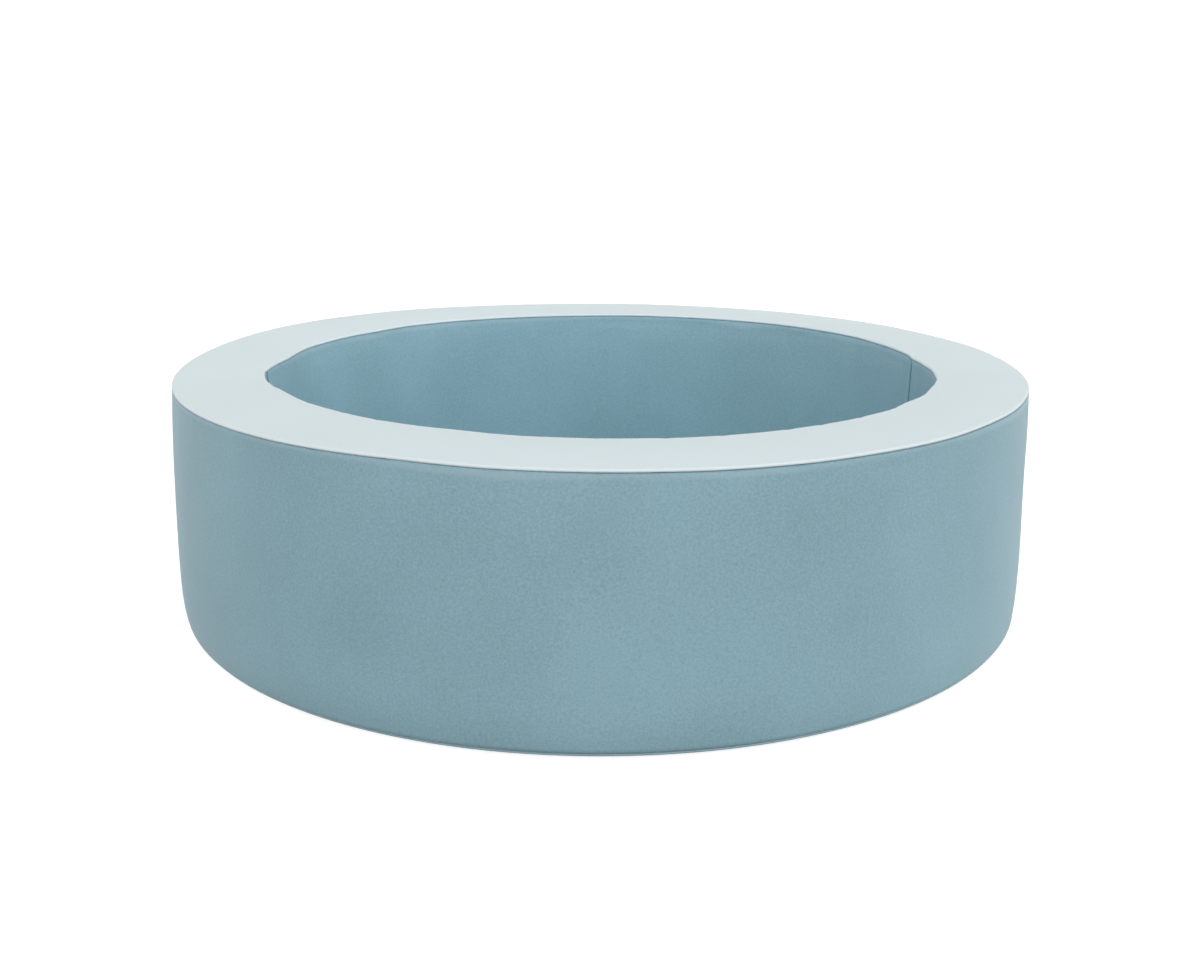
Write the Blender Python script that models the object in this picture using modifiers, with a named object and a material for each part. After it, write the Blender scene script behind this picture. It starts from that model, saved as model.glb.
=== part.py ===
"""Round soft ball pit: a foam ring in a sewn leatherette cover, and a lift-out floor mat.

The origin is the centre of the ring's underside, on the floor. +Z is up, -Y is the near side
and +Y the far side. Lengths are in metres and angles in radians.

The cover is sewn from two outer wall panels, two inner wall panels, a top ring and a bottom
ring. The far outer panel has a zip along its foot, through which the two foam halves go in.
The floor mat has a straight zip across its underside.
"""

import math

import bmesh
import bpy
from mathutils import Matrix, Vector

# Ring
OUTER_DIAMETER = 1.100
WALL_THICKNESS = 0.127
RING_HEIGHT = 0.305
TOP_DRAW_IN = 0.0042
FOOT_DRAW_IN = 0.0030
INNER_SWELL = 0.0030
BOTTOM_EDGE_RADIUS = 0.014
TOP_EDGE_RADIUS = 0.005
COVER_THICKNESS = 0.0011

# Seams
TOUCH_GAP = 0.0003
TOP_SEAM_INSET = 0.0012
PUCKER_DEPTH = 0.0014
PUCKER_FADE = 0.035
PUCKER_COUNT = 48
SIDE_SEAM_ANGLE = math.radians(6.5)
SIDE_SEAM_DEPTH = 0.004
SIDE_SEAM_HALF_WIDTH = 0.0055

# Floor mat
MAT_THICKNESS = 0.030
MAT_CROWN = 0.004
MAT_EDGE_RADIUS = 0.004
MAT_BAND_SWELL = 0.001
MAT_ZIP_LENGTH = 0.620

# Zips
TAPE_WIDTH = 0.016
TAPE_THICKNESS = 0.0005
TAPE_MARGIN = 0.004
ZIP_SLOT_WIDTH = 0.012
CHAIN_GAP = 0.0022
COIL_WIDTH = 0.0021
COIL_THICKNESS = 0.0018
STOP_LENGTH = 0.0026
STOP_THICKNESS = 0.0009

# Zip sliders and pulls
SLIDER_LENGTH = 0.0130
SLIDER_PLATE = 0.0010
SLIDER_FLANGE = 0.0009
SLIDER_RUN_GAP = 0.0004
POST_WIDTH = 0.0008
POST_LENGTH = 0.0024
BRIDGE_WIDTH = 0.0020
BRIDGE_SPAN = 0.0066
BRIDGE_THICKNESS = 0.0008
PULL_LENGTH = 0.0260
PULL_WIDTH = 0.0064
PULL_THICKNESS = 0.0012
PULL_EYE_LENGTH = 0.0046
PULL_EYE_WIDTH = 0.0032

# Facets
HALF_COLUMNS = PUCKER_COUNT
FOAM_COLUMNS = HALF_COLUMNS // 2
MAT_COLUMNS = 64
BEVEL_SEGMENTS = 2

# One overrun serves every cut and every join
OVERRUN = 0.0004

# Shares of the height between the widest level and the puckers, for the wall's rows
WALL_ROW_SHARES = (1 / 3, 2 / 3)
# How much wider and deeper than the seam's groove the foam under it is cut back
SEAM_RELIEF_WIDTH_SHARE = 1.5
SEAM_RELIEF_DEPTH_SHARE = 1.35
# How far a panel's inner edge runs on past its outer edge where two panels meet at 45 degrees
MITRE_SHARE = math.tan(math.pi / 8)
# The wall draws in to the top with this exponent, and to the foot with a plain square
TOP_DRAW_EXPONENT = 1.5
TAIL_WIDTH_SHARE = 0.86
NOSE_WIDTH_SHARE = 0.80
MAT_RING_SHARES = (0.40, 0.75)

outer_radius = OUTER_DIAMETER / 2
inner_radius = outer_radius - WALL_THICKNESS
cover_offset = COVER_THICKNESS + TOUCH_GAP
zip_height = BOTTOM_EDGE_RADIUS + TAPE_WIDTH + TAPE_MARGIN
widest_height = zip_height + TAPE_WIDTH + TAPE_MARGIN
mitre = COVER_THICKNESS * MITRE_SHARE
seam_half_opening = TOUCH_GAP / 2 + mitre
top_seam_height = RING_HEIGHT - TOP_EDGE_RADIUS
pucker_height = top_seam_height - TOP_EDGE_RADIUS
pucker_foot = RING_HEIGHT - PUCKER_FADE
far_start = SIDE_SEAM_ANGLE
near_start = SIDE_SEAM_ANGLE + math.pi

# The zip's section, measured outwards from the face of the tape that carries the coil
coil_base = TOUCH_GAP
coil_top = coil_base + COIL_THICKNESS
zip_facet_sag = outer_radius * (1 - math.cos(math.pi / (2 * HALF_COLUMNS)))
outer_plate_base = coil_top + SLIDER_RUN_GAP
outer_plate_top = outer_plate_base + SLIDER_PLATE
inner_plate_top = -(TAPE_THICKNESS + zip_facet_sag + SLIDER_RUN_GAP)
inner_plate_base = inner_plate_top - SLIDER_PLATE
coil_outer_edge = CHAIN_GAP / 2 + COIL_WIDTH
slider_half_width = coil_outer_edge + SLIDER_RUN_GAP + SLIDER_FLANGE
bar_sweep = PULL_THICKNESS / math.sqrt(2)
bar_height = outer_plate_top + TOUCH_GAP + bar_sweep
bridge_hole_top = bar_height + bar_sweep + TOUCH_GAP
bridge_top = bridge_hole_top + BRIDGE_THICKNESS
zip_channel_depth = -inner_plate_base + TOUCH_GAP

# Mat levels and sizes
mat_tape_height = bridge_top + TOUCH_GAP
mat_lip_height = mat_tape_height - cover_offset
mat_channel_top = mat_tape_height + zip_channel_depth
mat_recess_half_width = TAPE_WIDTH + TAPE_MARGIN
mat_recess_half_length = MAT_ZIP_LENGTH / 2 + PULL_LENGTH

# Angles of the cover zip round the far half of the wall
seam_edge_angle = SIDE_SEAM_HALF_WIDTH / outer_radius
seam_gap_angle = TOUCH_GAP / (2 * inner_radius)
column_angle = (math.pi - 2 * (seam_edge_angle + seam_gap_angle)) / HALF_COLUMNS
zip_start = far_start + seam_gap_angle + seam_edge_angle + column_angle
zip_columns = HALF_COLUMNS - 2
zip_stop = zip_start + zip_columns * column_angle
slider_rest_angle = zip_start + (2 * STOP_LENGTH + SLIDER_LENGTH / 2) / outer_radius

PALE_TOP = (0.56, 0.66, 0.70, 1.0)
WALL_TEAL = (0.23, 0.38, 0.44, 1.0)
LINING_GREY = (0.20, 0.27, 0.30, 1.0)
FOAM_CREAM = (0.80, 0.76, 0.62, 1.0)
TAPE_TEAL = (0.10, 0.20, 0.24, 1.0)
SLIDER_GREY = (0.36, 0.40, 0.42, 1.0)


def outer_wall_radius(height):
    """The outer wall's radius: widest near the foot, drawn in at the top and at the floor."""
    if height >= widest_height:
        share = (height - widest_height) / (RING_HEIGHT - widest_height)
        return outer_radius - TOP_DRAW_IN * share**TOP_DRAW_EXPONENT
    share = (widest_height - height) / widest_height
    return outer_radius - FOOT_DRAW_IN * share**2


def inner_wall_radius(height):
    """The inner wall's radius: it swells into the pit, and is narrowest at the floor."""
    return inner_radius - INNER_SWELL * (1 - (height / RING_HEIGHT) ** 2)


def snug_mat_radius():
    """The radius of a mat whose side band just clears the wall round it as it is lifted out."""
    wall_at_facets = inner_wall_radius(MAT_THICKNESS / 2) * math.cos(math.pi / (2 * HALF_COLUMNS))
    return wall_at_facets - TOUCH_GAP - MAT_BAND_SWELL


mat_radius = snug_mat_radius()


def radius_along(profile, height):
    """The radius of a profile's polyline at a height."""
    for (low_radius, low), (high_radius, high) in zip(profile, profile[1:]):
        if low <= height <= high:
            return low_radius + (high_radius - low_radius) * (height - low) / (high - low)
    return profile[-1][0]


def corner_point(radius, height, edge_radius, turn, up):
    """A point on a rounded edge whose centre is at (radius, height), at an angle from the axis."""
    return (radius + edge_radius * math.cos(turn), height + up * edge_radius * math.sin(turn))


def wall_heights():
    """The heights of the wall's rows above the rounded foot, without the zip's slot."""
    span = pucker_foot - widest_height
    rows = [widest_height + span * share for share in WALL_ROW_SHARES]
    return [widest_height, *rows, pucker_foot, pucker_height]


def outer_profile(with_slot):
    """The outer wall's outline from the bottom seam up to the top seam."""
    foot_centre = outer_wall_radius(BOTTOM_EDGE_RADIUS) - BOTTOM_EDGE_RADIUS
    seam_turn = math.pi / 4 - seam_half_opening / BOTTOM_EDGE_RADIUS
    foot = [
        corner_point(foot_centre, BOTTOM_EDGE_RADIUS, BOTTOM_EDGE_RADIUS, turn, -1)
        for turn in (seam_turn, 0)
    ]
    heights = wall_heights()
    if with_slot:
        heights = [zip_height - ZIP_SLOT_WIDTH / 2, zip_height + ZIP_SLOT_WIDTH / 2, *heights]
    edge_height = top_seam_height - TOUCH_GAP - mitre
    edge = (outer_wall_radius(RING_HEIGHT) - TOP_SEAM_INSET, edge_height)
    return [*foot, *((outer_wall_radius(height), height) for height in heights), edge]


def inner_profile():
    """The inner wall's outline from the bottom seam up to the top seam."""
    foot_centre = inner_wall_radius(BOTTOM_EDGE_RADIUS) + BOTTOM_EDGE_RADIUS
    seam_turn = math.pi * 3 / 4 + seam_half_opening / BOTTOM_EDGE_RADIUS
    foot = [
        corner_point(foot_centre, BOTTOM_EDGE_RADIUS, BOTTOM_EDGE_RADIUS, turn, -1)
        for turn in (seam_turn, math.pi)
    ]
    heights = (RING_HEIGHT / 2, pucker_foot, pucker_height)
    edge = (inner_radius + TOP_SEAM_INSET, top_seam_height - TOUCH_GAP - mitre)
    return [*foot, *((inner_wall_radius(height), height) for height in heights), edge]


def top_profile():
    """The top ring's outline, from its outer seam over the top to its inner seam."""
    outside = outer_wall_radius(RING_HEIGHT) - TOP_EDGE_RADIUS
    inside = inner_radius + TOP_EDGE_RADIUS
    turns = (0, math.pi / 4, math.pi / 2)
    over = [corner_point(outside, top_seam_height, TOP_EDGE_RADIUS, turn, 1) for turn in turns]
    turns = (math.pi / 2, math.pi * 3 / 4, math.pi)
    back = [corner_point(inside, top_seam_height, TOP_EDGE_RADIUS, turn, 1) for turn in turns]
    return [*over, *back]


def bottom_profile():
    """The bottom ring's outline, from its inner seam to its outer seam."""
    radius = BOTTOM_EDGE_RADIUS
    seam_turn = math.pi / 4 + seam_half_opening / radius
    inside = inner_wall_radius(radius) + radius
    outside = outer_wall_radius(radius) - radius
    return [
        corner_point(inside, radius, radius, math.pi - seam_turn, -1),
        (inside, 0),
        (outside, 0),
        corner_point(outside, radius, radius, seam_turn, -1),
    ]


def foam_profile(with_channel):
    """The closed outline of the foam's section, clear of the cover by one gap all round."""
    radius = BOTTOM_EDGE_RADIUS
    core = radius - cover_offset
    outside = outer_wall_radius(radius) - radius
    facet_growth = 1 / math.cos(math.pi / (2 * FOAM_COLUMNS))
    inside = (inner_wall_radius(radius) + cover_offset) * facet_growth + core
    turns = (math.pi / 2, math.pi / 4, 0)
    outline = [corner_point(outside, radius, core, turn, -1) for turn in turns]
    if with_channel:
        wall = outer_profile(True)
        half = TAPE_WIDTH + TAPE_MARGIN / 2
        low, high = zip_height - half, zip_height + half
        back = radius_along(wall, zip_height) - cover_offset - zip_channel_depth
        outline += [
            (radius_along(wall, low) - 2 * cover_offset, low),
            (back, low),
            (back, high),
            (radius_along(wall, high) - cover_offset - TOUCH_GAP, high),
        ]
    rows = wall_heights()[:-1]
    outline += [(outer_wall_radius(height) - cover_offset - TOUCH_GAP, height) for height in rows]
    top = RING_HEIGHT - cover_offset
    top_inset = TOP_EDGE_RADIUS + TOP_SEAM_INSET + cover_offset
    outline.append((outer_wall_radius(RING_HEIGHT) - top_inset, top))
    outline.append(((inner_radius + top_inset) * facet_growth, top))
    wall = inner_profile()
    for height in (pucker_foot, RING_HEIGHT / 2):
        outline.append(((radius_along(wall, height) + cover_offset) * facet_growth, height))
    turns = (math.pi, math.pi * 3 / 4, math.pi / 2)
    outline += [corner_point(inside, radius, core, turn, -1) for turn in turns]
    return outline


def material(name, colour, roughness, metallic=0.0):
    """A plain Principled material."""
    made = bpy.data.materials.new(name)
    made.use_nodes = True
    shader = made.node_tree.nodes["Principled BSDF"]
    shader.inputs["Base Color"].default_value = colour
    shader.inputs["Roughness"].default_value = roughness
    shader.inputs["Metallic"].default_value = metallic
    made.diffuse_color = colour
    return made


def collection(name):
    """A new collection under the scene's own."""
    made = bpy.data.collections.new(name)
    bpy.context.scene.collection.children.link(made)
    return made


def add_object(name, mesh, finish, group):
    """Turn a bmesh into an object in a collection."""
    data = bpy.data.meshes.new(name)
    bmesh.ops.recalc_face_normals(mesh, faces=mesh.faces)
    mesh.to_mesh(data)
    mesh.free()
    made = bpy.data.objects.new(name, data)
    group.objects.link(made)
    if finish:
        data.materials.append(finish)
        data.shade_smooth()
        data.set_sharp_from_angle(angle=math.radians(40))
    return made


def spin_on(mesh, geometry, angle, steps):
    """Turn a profile on about Z and give the profile at the far end."""
    turned = bmesh.ops.spin(
        mesh, geom=geometry, axis=(0, 0, 1), cent=(0, 0, 0), angle=angle, steps=steps
    )
    return turned["geom_last"]


def profile_in(mesh, outline, closed=False):
    """Draw a profile of (radius, height) points in the plane of +X."""
    verts = [mesh.verts.new((radius, 0, height)) for radius, height in outline]
    pairs = list(zip(verts, verts[1:]))
    if closed:
        pairs.append((verts[-1], verts[0]))
    edges = [mesh.edges.new(pair) for pair in pairs]
    return verts, edges


def half_turn(outline, start, columns, edge_angle, closed=False):
    """Sweep a profile half way round the ring, with a narrow first and last column."""
    mesh = bmesh.new()
    verts, edges = profile_in(mesh, outline, closed)
    turn_to_start = Matrix.Rotation(start + seam_gap_angle, 3, "Z")
    bmesh.ops.rotate(mesh, verts=verts, cent=(0, 0, 0), matrix=turn_to_start)
    if closed:
        mesh.faces.new(verts)
    main_angle = math.pi - 2 * (seam_gap_angle + edge_angle)
    last = spin_on(mesh, verts + edges, edge_angle, 1)
    last = spin_on(mesh, last, main_angle, columns)
    last = spin_on(mesh, last, edge_angle, 1)
    if closed:
        mesh.faces.new([item for item in last if isinstance(item, bmesh.types.BMVert)])
    return mesh


def seam_distance(angle):
    """The angle from the nearer of the two side seams."""
    turned = (angle - SIDE_SEAM_ANGLE) % math.pi
    return min(turned, math.pi - turned)


def draw_seams(mesh, inwards, puckers=True, edge_angle=seam_edge_angle, depth=SIDE_SEAM_DEPTH):
    """Press the side seams' grooves, and the top seam's puckers, into a swept wall."""
    bottom_seam = BOTTOM_EDGE_RADIUS * (1 - math.sin(math.pi / 4))
    for vert in mesh.verts:
        angle = math.atan2(vert.co.y, vert.co.x)
        near = max(0.0, 1 - seam_distance(angle) / edge_angle)
        rise = (vert.co.z - bottom_seam) / (BOTTOM_EDGE_RADIUS - bottom_seam)
        press = depth * near * min(1.0, max(0.0, rise))
        if puckers and vert.co.z > pucker_height - TOUCH_GAP:
            columns = (seam_distance(angle) - seam_gap_angle - seam_edge_angle) / column_angle
            press += PUCKER_DEPTH * (1 - math.cos(math.pi * columns)) / 2
        outward = Vector((vert.co.x, vert.co.y, 0)).normalized()
        vert.co += outward * (-press if inwards else press)


def shell(made, thickness=COVER_THICKNESS):
    """Give an open surface its thickness, on the side away from its normals."""
    wall = made.modifiers.new("Cover thickness", "SOLIDIFY")
    wall.thickness = thickness
    wall.offset = -1
    wall.use_even_offset = True
    return made


def face_out(made, away_from_axis=True):
    """Make an open swept wall's normals point away from the ring's axis, or towards it."""
    mesh = bmesh.new()
    mesh.from_mesh(made.data)
    total = sum(
        face.normal.dot(Vector((face.calc_center_median().x, face.calc_center_median().y, 0)))
        * face.calc_area()
        for face in mesh.faces
    )
    if (total > 0) != away_from_axis:
        bmesh.ops.reverse_faces(mesh, faces=mesh.faces)
    mesh.to_mesh(made.data)
    mesh.free()


def face_up(made, upwards=True):
    """Make an open level panel's normals point up, or down."""
    mesh = bmesh.new()
    mesh.from_mesh(made.data)
    total = sum(face.normal.z * face.calc_area() for face in mesh.faces)
    if (total > 0) != upwards:
        bmesh.ops.reverse_faces(mesh, faces=mesh.faces)
    mesh.to_mesh(made.data)
    mesh.free()


def cut_slot(mesh):
    """Open the zip's slot between the two rows that border it."""
    low, high = zip_height - ZIP_SLOT_WIDTH / 2, zip_height + ZIP_SLOT_WIDTH / 2
    slot = []
    for face in mesh.faces:
        middle = face.calc_center_median()
        angle = (math.atan2(middle.y, middle.x) - zip_start) % math.tau
        if low < middle.z < high and angle < zip_stop - zip_start:
            slot.append(face)
    bmesh.ops.delete(mesh, geom=slot, context="FACES")


def build_wall_panels(parts, finish):
    """The four wall panels: near and far, outer and inner."""
    for half, start in (("near", near_start), ("far", far_start)):
        mesh = half_turn(outer_profile(half == "far"), start, HALF_COLUMNS, seam_edge_angle)
        if half == "far":
            cut_slot(mesh)
        draw_seams(mesh, inwards=True)
        made = add_object("outer_wall_panel_" + half, mesh, finish, parts)
        face_out(made)
        shell(made)
        mesh = half_turn(inner_profile(), start, HALF_COLUMNS, seam_edge_angle)
        draw_seams(mesh, inwards=False)
        made = add_object("inner_wall_panel_" + half, mesh, finish, parts)
        face_out(made, away_from_axis=False)
        shell(made)


def full_turn(outline, columns):
    """Sweep a profile all the way round the ring, in step with the wall's columns."""
    mesh = bmesh.new()
    verts, edges = profile_in(mesh, outline)
    start = far_start + seam_gap_angle + seam_edge_angle
    bmesh.ops.rotate(
        mesh, verts=verts, cent=(0, 0, 0), matrix=Matrix.Rotation(start, 3, "Z")
    )
    spin_on(mesh, verts + edges, math.tau, columns)
    bmesh.ops.remove_doubles(mesh, verts=mesh.verts, dist=TOUCH_GAP / 10)
    return mesh


def build_ring_panels(parts, top_finish, bottom_finish):
    """The top ring, drawn in at every pucker of its seams, and the flat bottom ring."""
    mesh = full_turn(top_profile(), 2 * HALF_COLUMNS)
    middle = (outer_radius + inner_radius) / 2
    for vert in mesh.verts:
        if vert.co.z > top_seam_height + TOUCH_GAP:
            continue
        angle = math.atan2(vert.co.y, vert.co.x) - far_start - seam_gap_angle - seam_edge_angle
        press = TOP_SEAM_INSET * (1 - math.cos(PUCKER_COUNT * angle)) / 2
        outward = Vector((vert.co.x, vert.co.y, 0))
        side = -1 if outward.length > middle else 1
        vert.co += outward.normalized() * side * press
    made = add_object("top_ring_panel", mesh, top_finish, parts)
    face_up(made)
    shell(made)
    made = add_object(
        "bottom_ring_panel", full_turn(bottom_profile(), 2 * HALF_COLUMNS), bottom_finish, parts
    )
    face_up(made, upwards=False)
    shell(made)


def build_foam(parts, finish):
    """The two half rings of foam that fill the cover."""
    for half, start in (("near", near_start), ("far", far_start)):
        edge = seam_edge_angle * SEAM_RELIEF_WIDTH_SHARE
        mesh = half_turn(foam_profile(half == "far"), start, FOAM_COLUMNS, edge, closed=True)
        middle = (outer_radius + inner_radius) / 2
        depth = SIDE_SEAM_DEPTH * SEAM_RELIEF_DEPTH_SHARE
        for vert in mesh.verts:
            outward = Vector((vert.co.x, vert.co.y, 0))
            near = max(0.0, 1 - seam_distance(math.atan2(vert.co.y, vert.co.x)) / edge)
            if vert.co.z > 2 * cover_offset:
                side = -1 if outward.length > middle else 1
                vert.co += outward.normalized() * side * depth * near
        add_object("wall_foam_" + half, mesh, finish, parts)


def arc_strip(name, section, inset, finish, parts):
    """A closed section of (radius, height) points swept along the cover zip."""
    mesh = bmesh.new()
    verts, edges = profile_in(mesh, section, closed=True)
    start = zip_start + inset / outer_radius
    bmesh.ops.rotate(mesh, verts=verts, cent=(0, 0, 0), matrix=Matrix.Rotation(start, 3, "Z"))
    mesh.faces.new(verts)
    sweep = zip_stop - zip_start - 2 * inset / outer_radius
    last = spin_on(mesh, verts + edges, sweep, zip_columns)
    mesh.faces.new([item for item in last if isinstance(item, bmesh.types.BMVert)])
    return add_object(name, mesh, finish, parts)


def cover_tape_face():
    """The radius of the cover tape's outer face at the zip's centre line."""
    return radius_along(outer_profile(True), zip_height) - cover_offset


def build_cover_zip_chain(parts, tape_finish, coil_finish):
    """The cover zip's two tapes, behind the slot's edges, and the coil on each."""
    wall = outer_profile(True)
    face = cover_tape_face()
    for side, up in (("upper", 1), ("lower", -1)):
        inner_edge = zip_height + up * CHAIN_GAP / 2
        outer_edge = zip_height + up * TAPE_WIDTH
        edge_face = radius_along(wall, outer_edge) - cover_offset - TOUCH_GAP / 2
        section = [
            (face, inner_edge),
            (edge_face, outer_edge),
            (edge_face - TAPE_THICKNESS, outer_edge),
            (face - TAPE_THICKNESS, inner_edge),
        ]
        arc_strip("cover_zip_tape_" + side, section, -TAPE_MARGIN, tape_finish, parts)
        section = [
            (face + coil_base, inner_edge),
            (face + coil_top, inner_edge),
            (face + coil_top, inner_edge + up * COIL_WIDTH),
            (face + coil_base, inner_edge + up * COIL_WIDTH),
        ]
        arc_strip("cover_zip_coil_" + side, section, 2 * TOUCH_GAP, coil_finish, parts)


def box_mesh(low, high, bevel=0.0):
    """A box between two corners, with its edges bevelled if a width is given."""
    mesh = bmesh.new()
    bmesh.ops.create_cube(mesh, size=1)
    size = Vector(high) - Vector(low)
    bmesh.ops.scale(mesh, vec=size, verts=mesh.verts)
    bmesh.ops.translate(mesh, vec=(Vector(high) + Vector(low)) / 2, verts=mesh.verts)
    if bevel:
        bmesh.ops.bevel(
            mesh, geom=mesh.edges[:], offset=bevel, segments=1, profile=0.5, affect="EDGES"
        )
    return mesh


def joined(name, meshes, finish, parts, cutters):
    """Union several closed meshes into one object."""
    made = add_object(name, meshes[0], finish, parts)
    for number, mesh in enumerate(meshes[1:], start=1):
        piece = add_object(f"{name}_join_{number}", mesh, None, cutters)
        hide(piece)
        union = made.modifiers.new(f"Join {number}", "BOOLEAN")
        union.operation = "UNION"
        union.solver = "EXACT"
        union.object = piece
    return made


def hide(made):
    """Keep a cutter or joined piece out of the render."""
    made.hide_render = True
    made.display_type = "WIRE"


def cut(made, mesh, cutters):
    """Take a closed mesh away from an object."""
    tool = add_object(f"{made.name}_cut_{len(made.modifiers)}", mesh, None, cutters)
    hide(tool)
    difference = made.modifiers.new("Cut", "BOOLEAN")
    difference.operation = "DIFFERENCE"
    difference.solver = "EXACT"
    difference.object = tool


def plate_mesh(base, top):
    """A slider plate: widest just behind the nose, narrower at the nose and the tail."""
    half = SLIDER_LENGTH / 2
    shoulder = half - POST_LENGTH
    outline = [
        (-half, slider_half_width * TAIL_WIDTH_SHARE),
        (-half + POST_LENGTH, slider_half_width),
        (shoulder, slider_half_width),
        (half, slider_half_width * NOSE_WIDTH_SHARE),
    ]
    outline += [(along, -across) for along, across in reversed(outline)]
    mesh = bmesh.new()
    verts = [mesh.verts.new((along, across, base)) for along, across in outline]
    face = mesh.faces.new(verts)
    raised = bmesh.ops.extrude_face_region(mesh, geom=[face])
    moved = [item for item in raised["geom"] if isinstance(item, bmesh.types.BMVert)]
    bmesh.ops.translate(mesh, vec=(0, 0, top - base), verts=moved)
    return mesh


def bridge_mesh():
    """The arch over the outer plate that holds the pull's bar."""
    half = BRIDGE_SPAN / 2
    corner = BRIDGE_THICKNESS
    base = outer_plate_top - OVERRUN
    inside = half - BRIDGE_THICKNESS
    outline = [
        (-half, base),
        (-half, bridge_top - corner),
        (-half + corner, bridge_top),
        (half - corner, bridge_top),
        (half, bridge_top - corner),
        (half, base),
        (inside, base),
        (inside, bridge_hole_top),
        (-inside, bridge_hole_top),
        (-inside, base),
    ]
    mesh = bmesh.new()
    verts = [mesh.verts.new((along, -BRIDGE_WIDTH / 2, height)) for along, height in outline]
    face = mesh.faces.new(verts)
    raised = bmesh.ops.extrude_face_region(mesh, geom=[face])
    moved = [item for item in raised["geom"] if isinstance(item, bmesh.types.BMVert)]
    bmesh.ops.translate(mesh, vec=(0, BRIDGE_WIDTH, 0), verts=moved)
    return mesh


def slider_meshes():
    """The slider along +X, with the outward side of the zip along +Z: plates, post and flanges."""
    half = SLIDER_LENGTH / 2
    nose = half - POST_LENGTH
    meshes = [plate_mesh(outer_plate_base, outer_plate_top)]
    meshes.append(plate_mesh(inner_plate_base, inner_plate_top))
    meshes.append(
        box_mesh(
            (nose, -POST_WIDTH / 2, inner_plate_top - OVERRUN),
            (half - OVERRUN, POST_WIDTH / 2, outer_plate_base + OVERRUN),
        )
    )
    inside = coil_outer_edge + SLIDER_RUN_GAP
    for side in (-1, 1):
        edges = sorted((side * inside, side * (slider_half_width - OVERRUN / 2)))
        meshes.append(
            box_mesh(
                (-half + POST_LENGTH, edges[0], coil_base + SLIDER_RUN_GAP),
                (nose, edges[1], outer_plate_base + OVERRUN),
            )
        )
    meshes.append(bridge_mesh())
    return meshes


def pull_mesh():
    """The pull lying towards -X, with its bar on the Y axis at the bar's height."""
    half_width = PULL_WIDTH / 2
    bar = PULL_THICKNESS / 2
    tip = PULL_LENGTH - bar
    corner = half_width / 2
    base = bar_height - bar
    outline = [
        (bar, half_width),
        (-tip + corner, half_width),
        (-tip, half_width - corner),
        (-tip, -half_width + corner),
        (-tip + corner, -half_width),
        (bar, -half_width),
    ]
    mesh = bmesh.new()
    verts = [mesh.verts.new((along, across, base)) for along, across in outline]
    face = mesh.faces.new(verts)
    raised = bmesh.ops.extrude_face_region(mesh, geom=[face])
    moved = [item for item in raised["geom"] if isinstance(item, bmesh.types.BMVert)]
    bmesh.ops.translate(mesh, vec=(0, 0, PULL_THICKNESS), verts=moved)
    return mesh


def build_slider(name, place, finish, parts, cutters):
    """One zip slider and its pull, placed by a matrix from the zip's own frame."""
    slider = joined(name + "_slider", slider_meshes(), finish, parts, cutters)
    pull = add_object(name + "_pull", pull_mesh(), finish, parts)
    bar = PULL_THICKNESS / 2
    low = (-bar - PULL_EYE_LENGTH, -PULL_EYE_WIDTH / 2, bar_height - PULL_THICKNESS)
    high = (-bar, PULL_EYE_WIDTH / 2, bar_height + PULL_THICKNESS)
    cut(pull, box_mesh(low, high), cutters)
    hole_middle = -PULL_LENGTH + PULL_WIDTH / 2
    hole = bmesh.new()
    bmesh.ops.create_cone(
        hole,
        cap_ends=True,
        segments=12,
        radius1=PULL_WIDTH / 5,
        radius2=PULL_WIDTH / 5,
        depth=2 * PULL_THICKNESS,
    )
    bmesh.ops.translate(hole, vec=(hole_middle, 0, bar_height), verts=hole.verts)
    cut(pull, hole, cutters)
    pivot = Matrix.Translation((0, 0, bar_height))
    for made in (slider, pull):
        shift = pivot if made is pull else Matrix.Identity(4)
        made.data.transform(shift.inverted())
        made.matrix_world = place @ shift
        for modifier in made.modifiers:
            modifier.object.data.transform(shift.inverted())
            modifier.object.matrix_world = place @ shift


def stop_meshes():
    """A crimped stop over the two coils, in the zip's own frame."""
    inside = coil_outer_edge + TOUCH_GAP
    outside = inside + STOP_THICKNESS
    base = coil_top + TOUCH_GAP
    meshes = [
        box_mesh(
            (-STOP_LENGTH / 2, -outside, base), (STOP_LENGTH / 2, outside, base + STOP_THICKNESS)
        )
    ]
    for side in (-1, 1):
        edges = sorted((side * inside, side * outside))
        meshes.append(
            box_mesh(
                (-STOP_LENGTH / 2, edges[0], coil_base),
                (STOP_LENGTH / 2, edges[1], base + OVERRUN),
            )
        )
    return meshes


def build_stop(name, place, finish, parts, cutters):
    """One stop, placed by a matrix from the zip's own frame."""
    made = joined(name, stop_meshes(), finish, parts, cutters)
    made.matrix_world = place
    for modifier in made.modifiers:
        modifier.object.matrix_world = place


def cover_zip_place(angle):
    """The cover zip's frame at an angle: +X along the wall, +Y up and +Z outwards."""
    outward = Vector((math.cos(angle), math.sin(angle), 0))
    up = Vector((0, 0, 1))
    along = up.cross(outward)
    place = Matrix((along, up, outward)).transposed().to_4x4()
    place.translation = outward * cover_tape_face() + up * zip_height
    return place


def mat_zip_place(along):
    """The mat zip's frame: +X along the zip and +Z downwards, out of the mat's underside."""
    place = Matrix.Rotation(math.pi, 4, "X")
    place.translation = (along, 0, mat_tape_height)
    return place


def build_cover_zip(parts, cutters, tape_finish, coil_finish, metal):
    """The zip round the foot of the far wall, with its slider at the closed end."""
    build_cover_zip_chain(parts, tape_finish, coil_finish)
    inset = STOP_LENGTH / outer_radius
    build_stop("cover_zip_closed_stop", cover_zip_place(zip_start + inset), metal, parts, cutters)
    build_stop("cover_zip_open_stop", cover_zip_place(zip_stop - inset), metal, parts, cutters)
    turned = cover_zip_place(slider_rest_angle) @ Matrix.Rotation(math.pi, 4, "Z")
    build_slider("cover_zip", turned, metal, parts, cutters)


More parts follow.
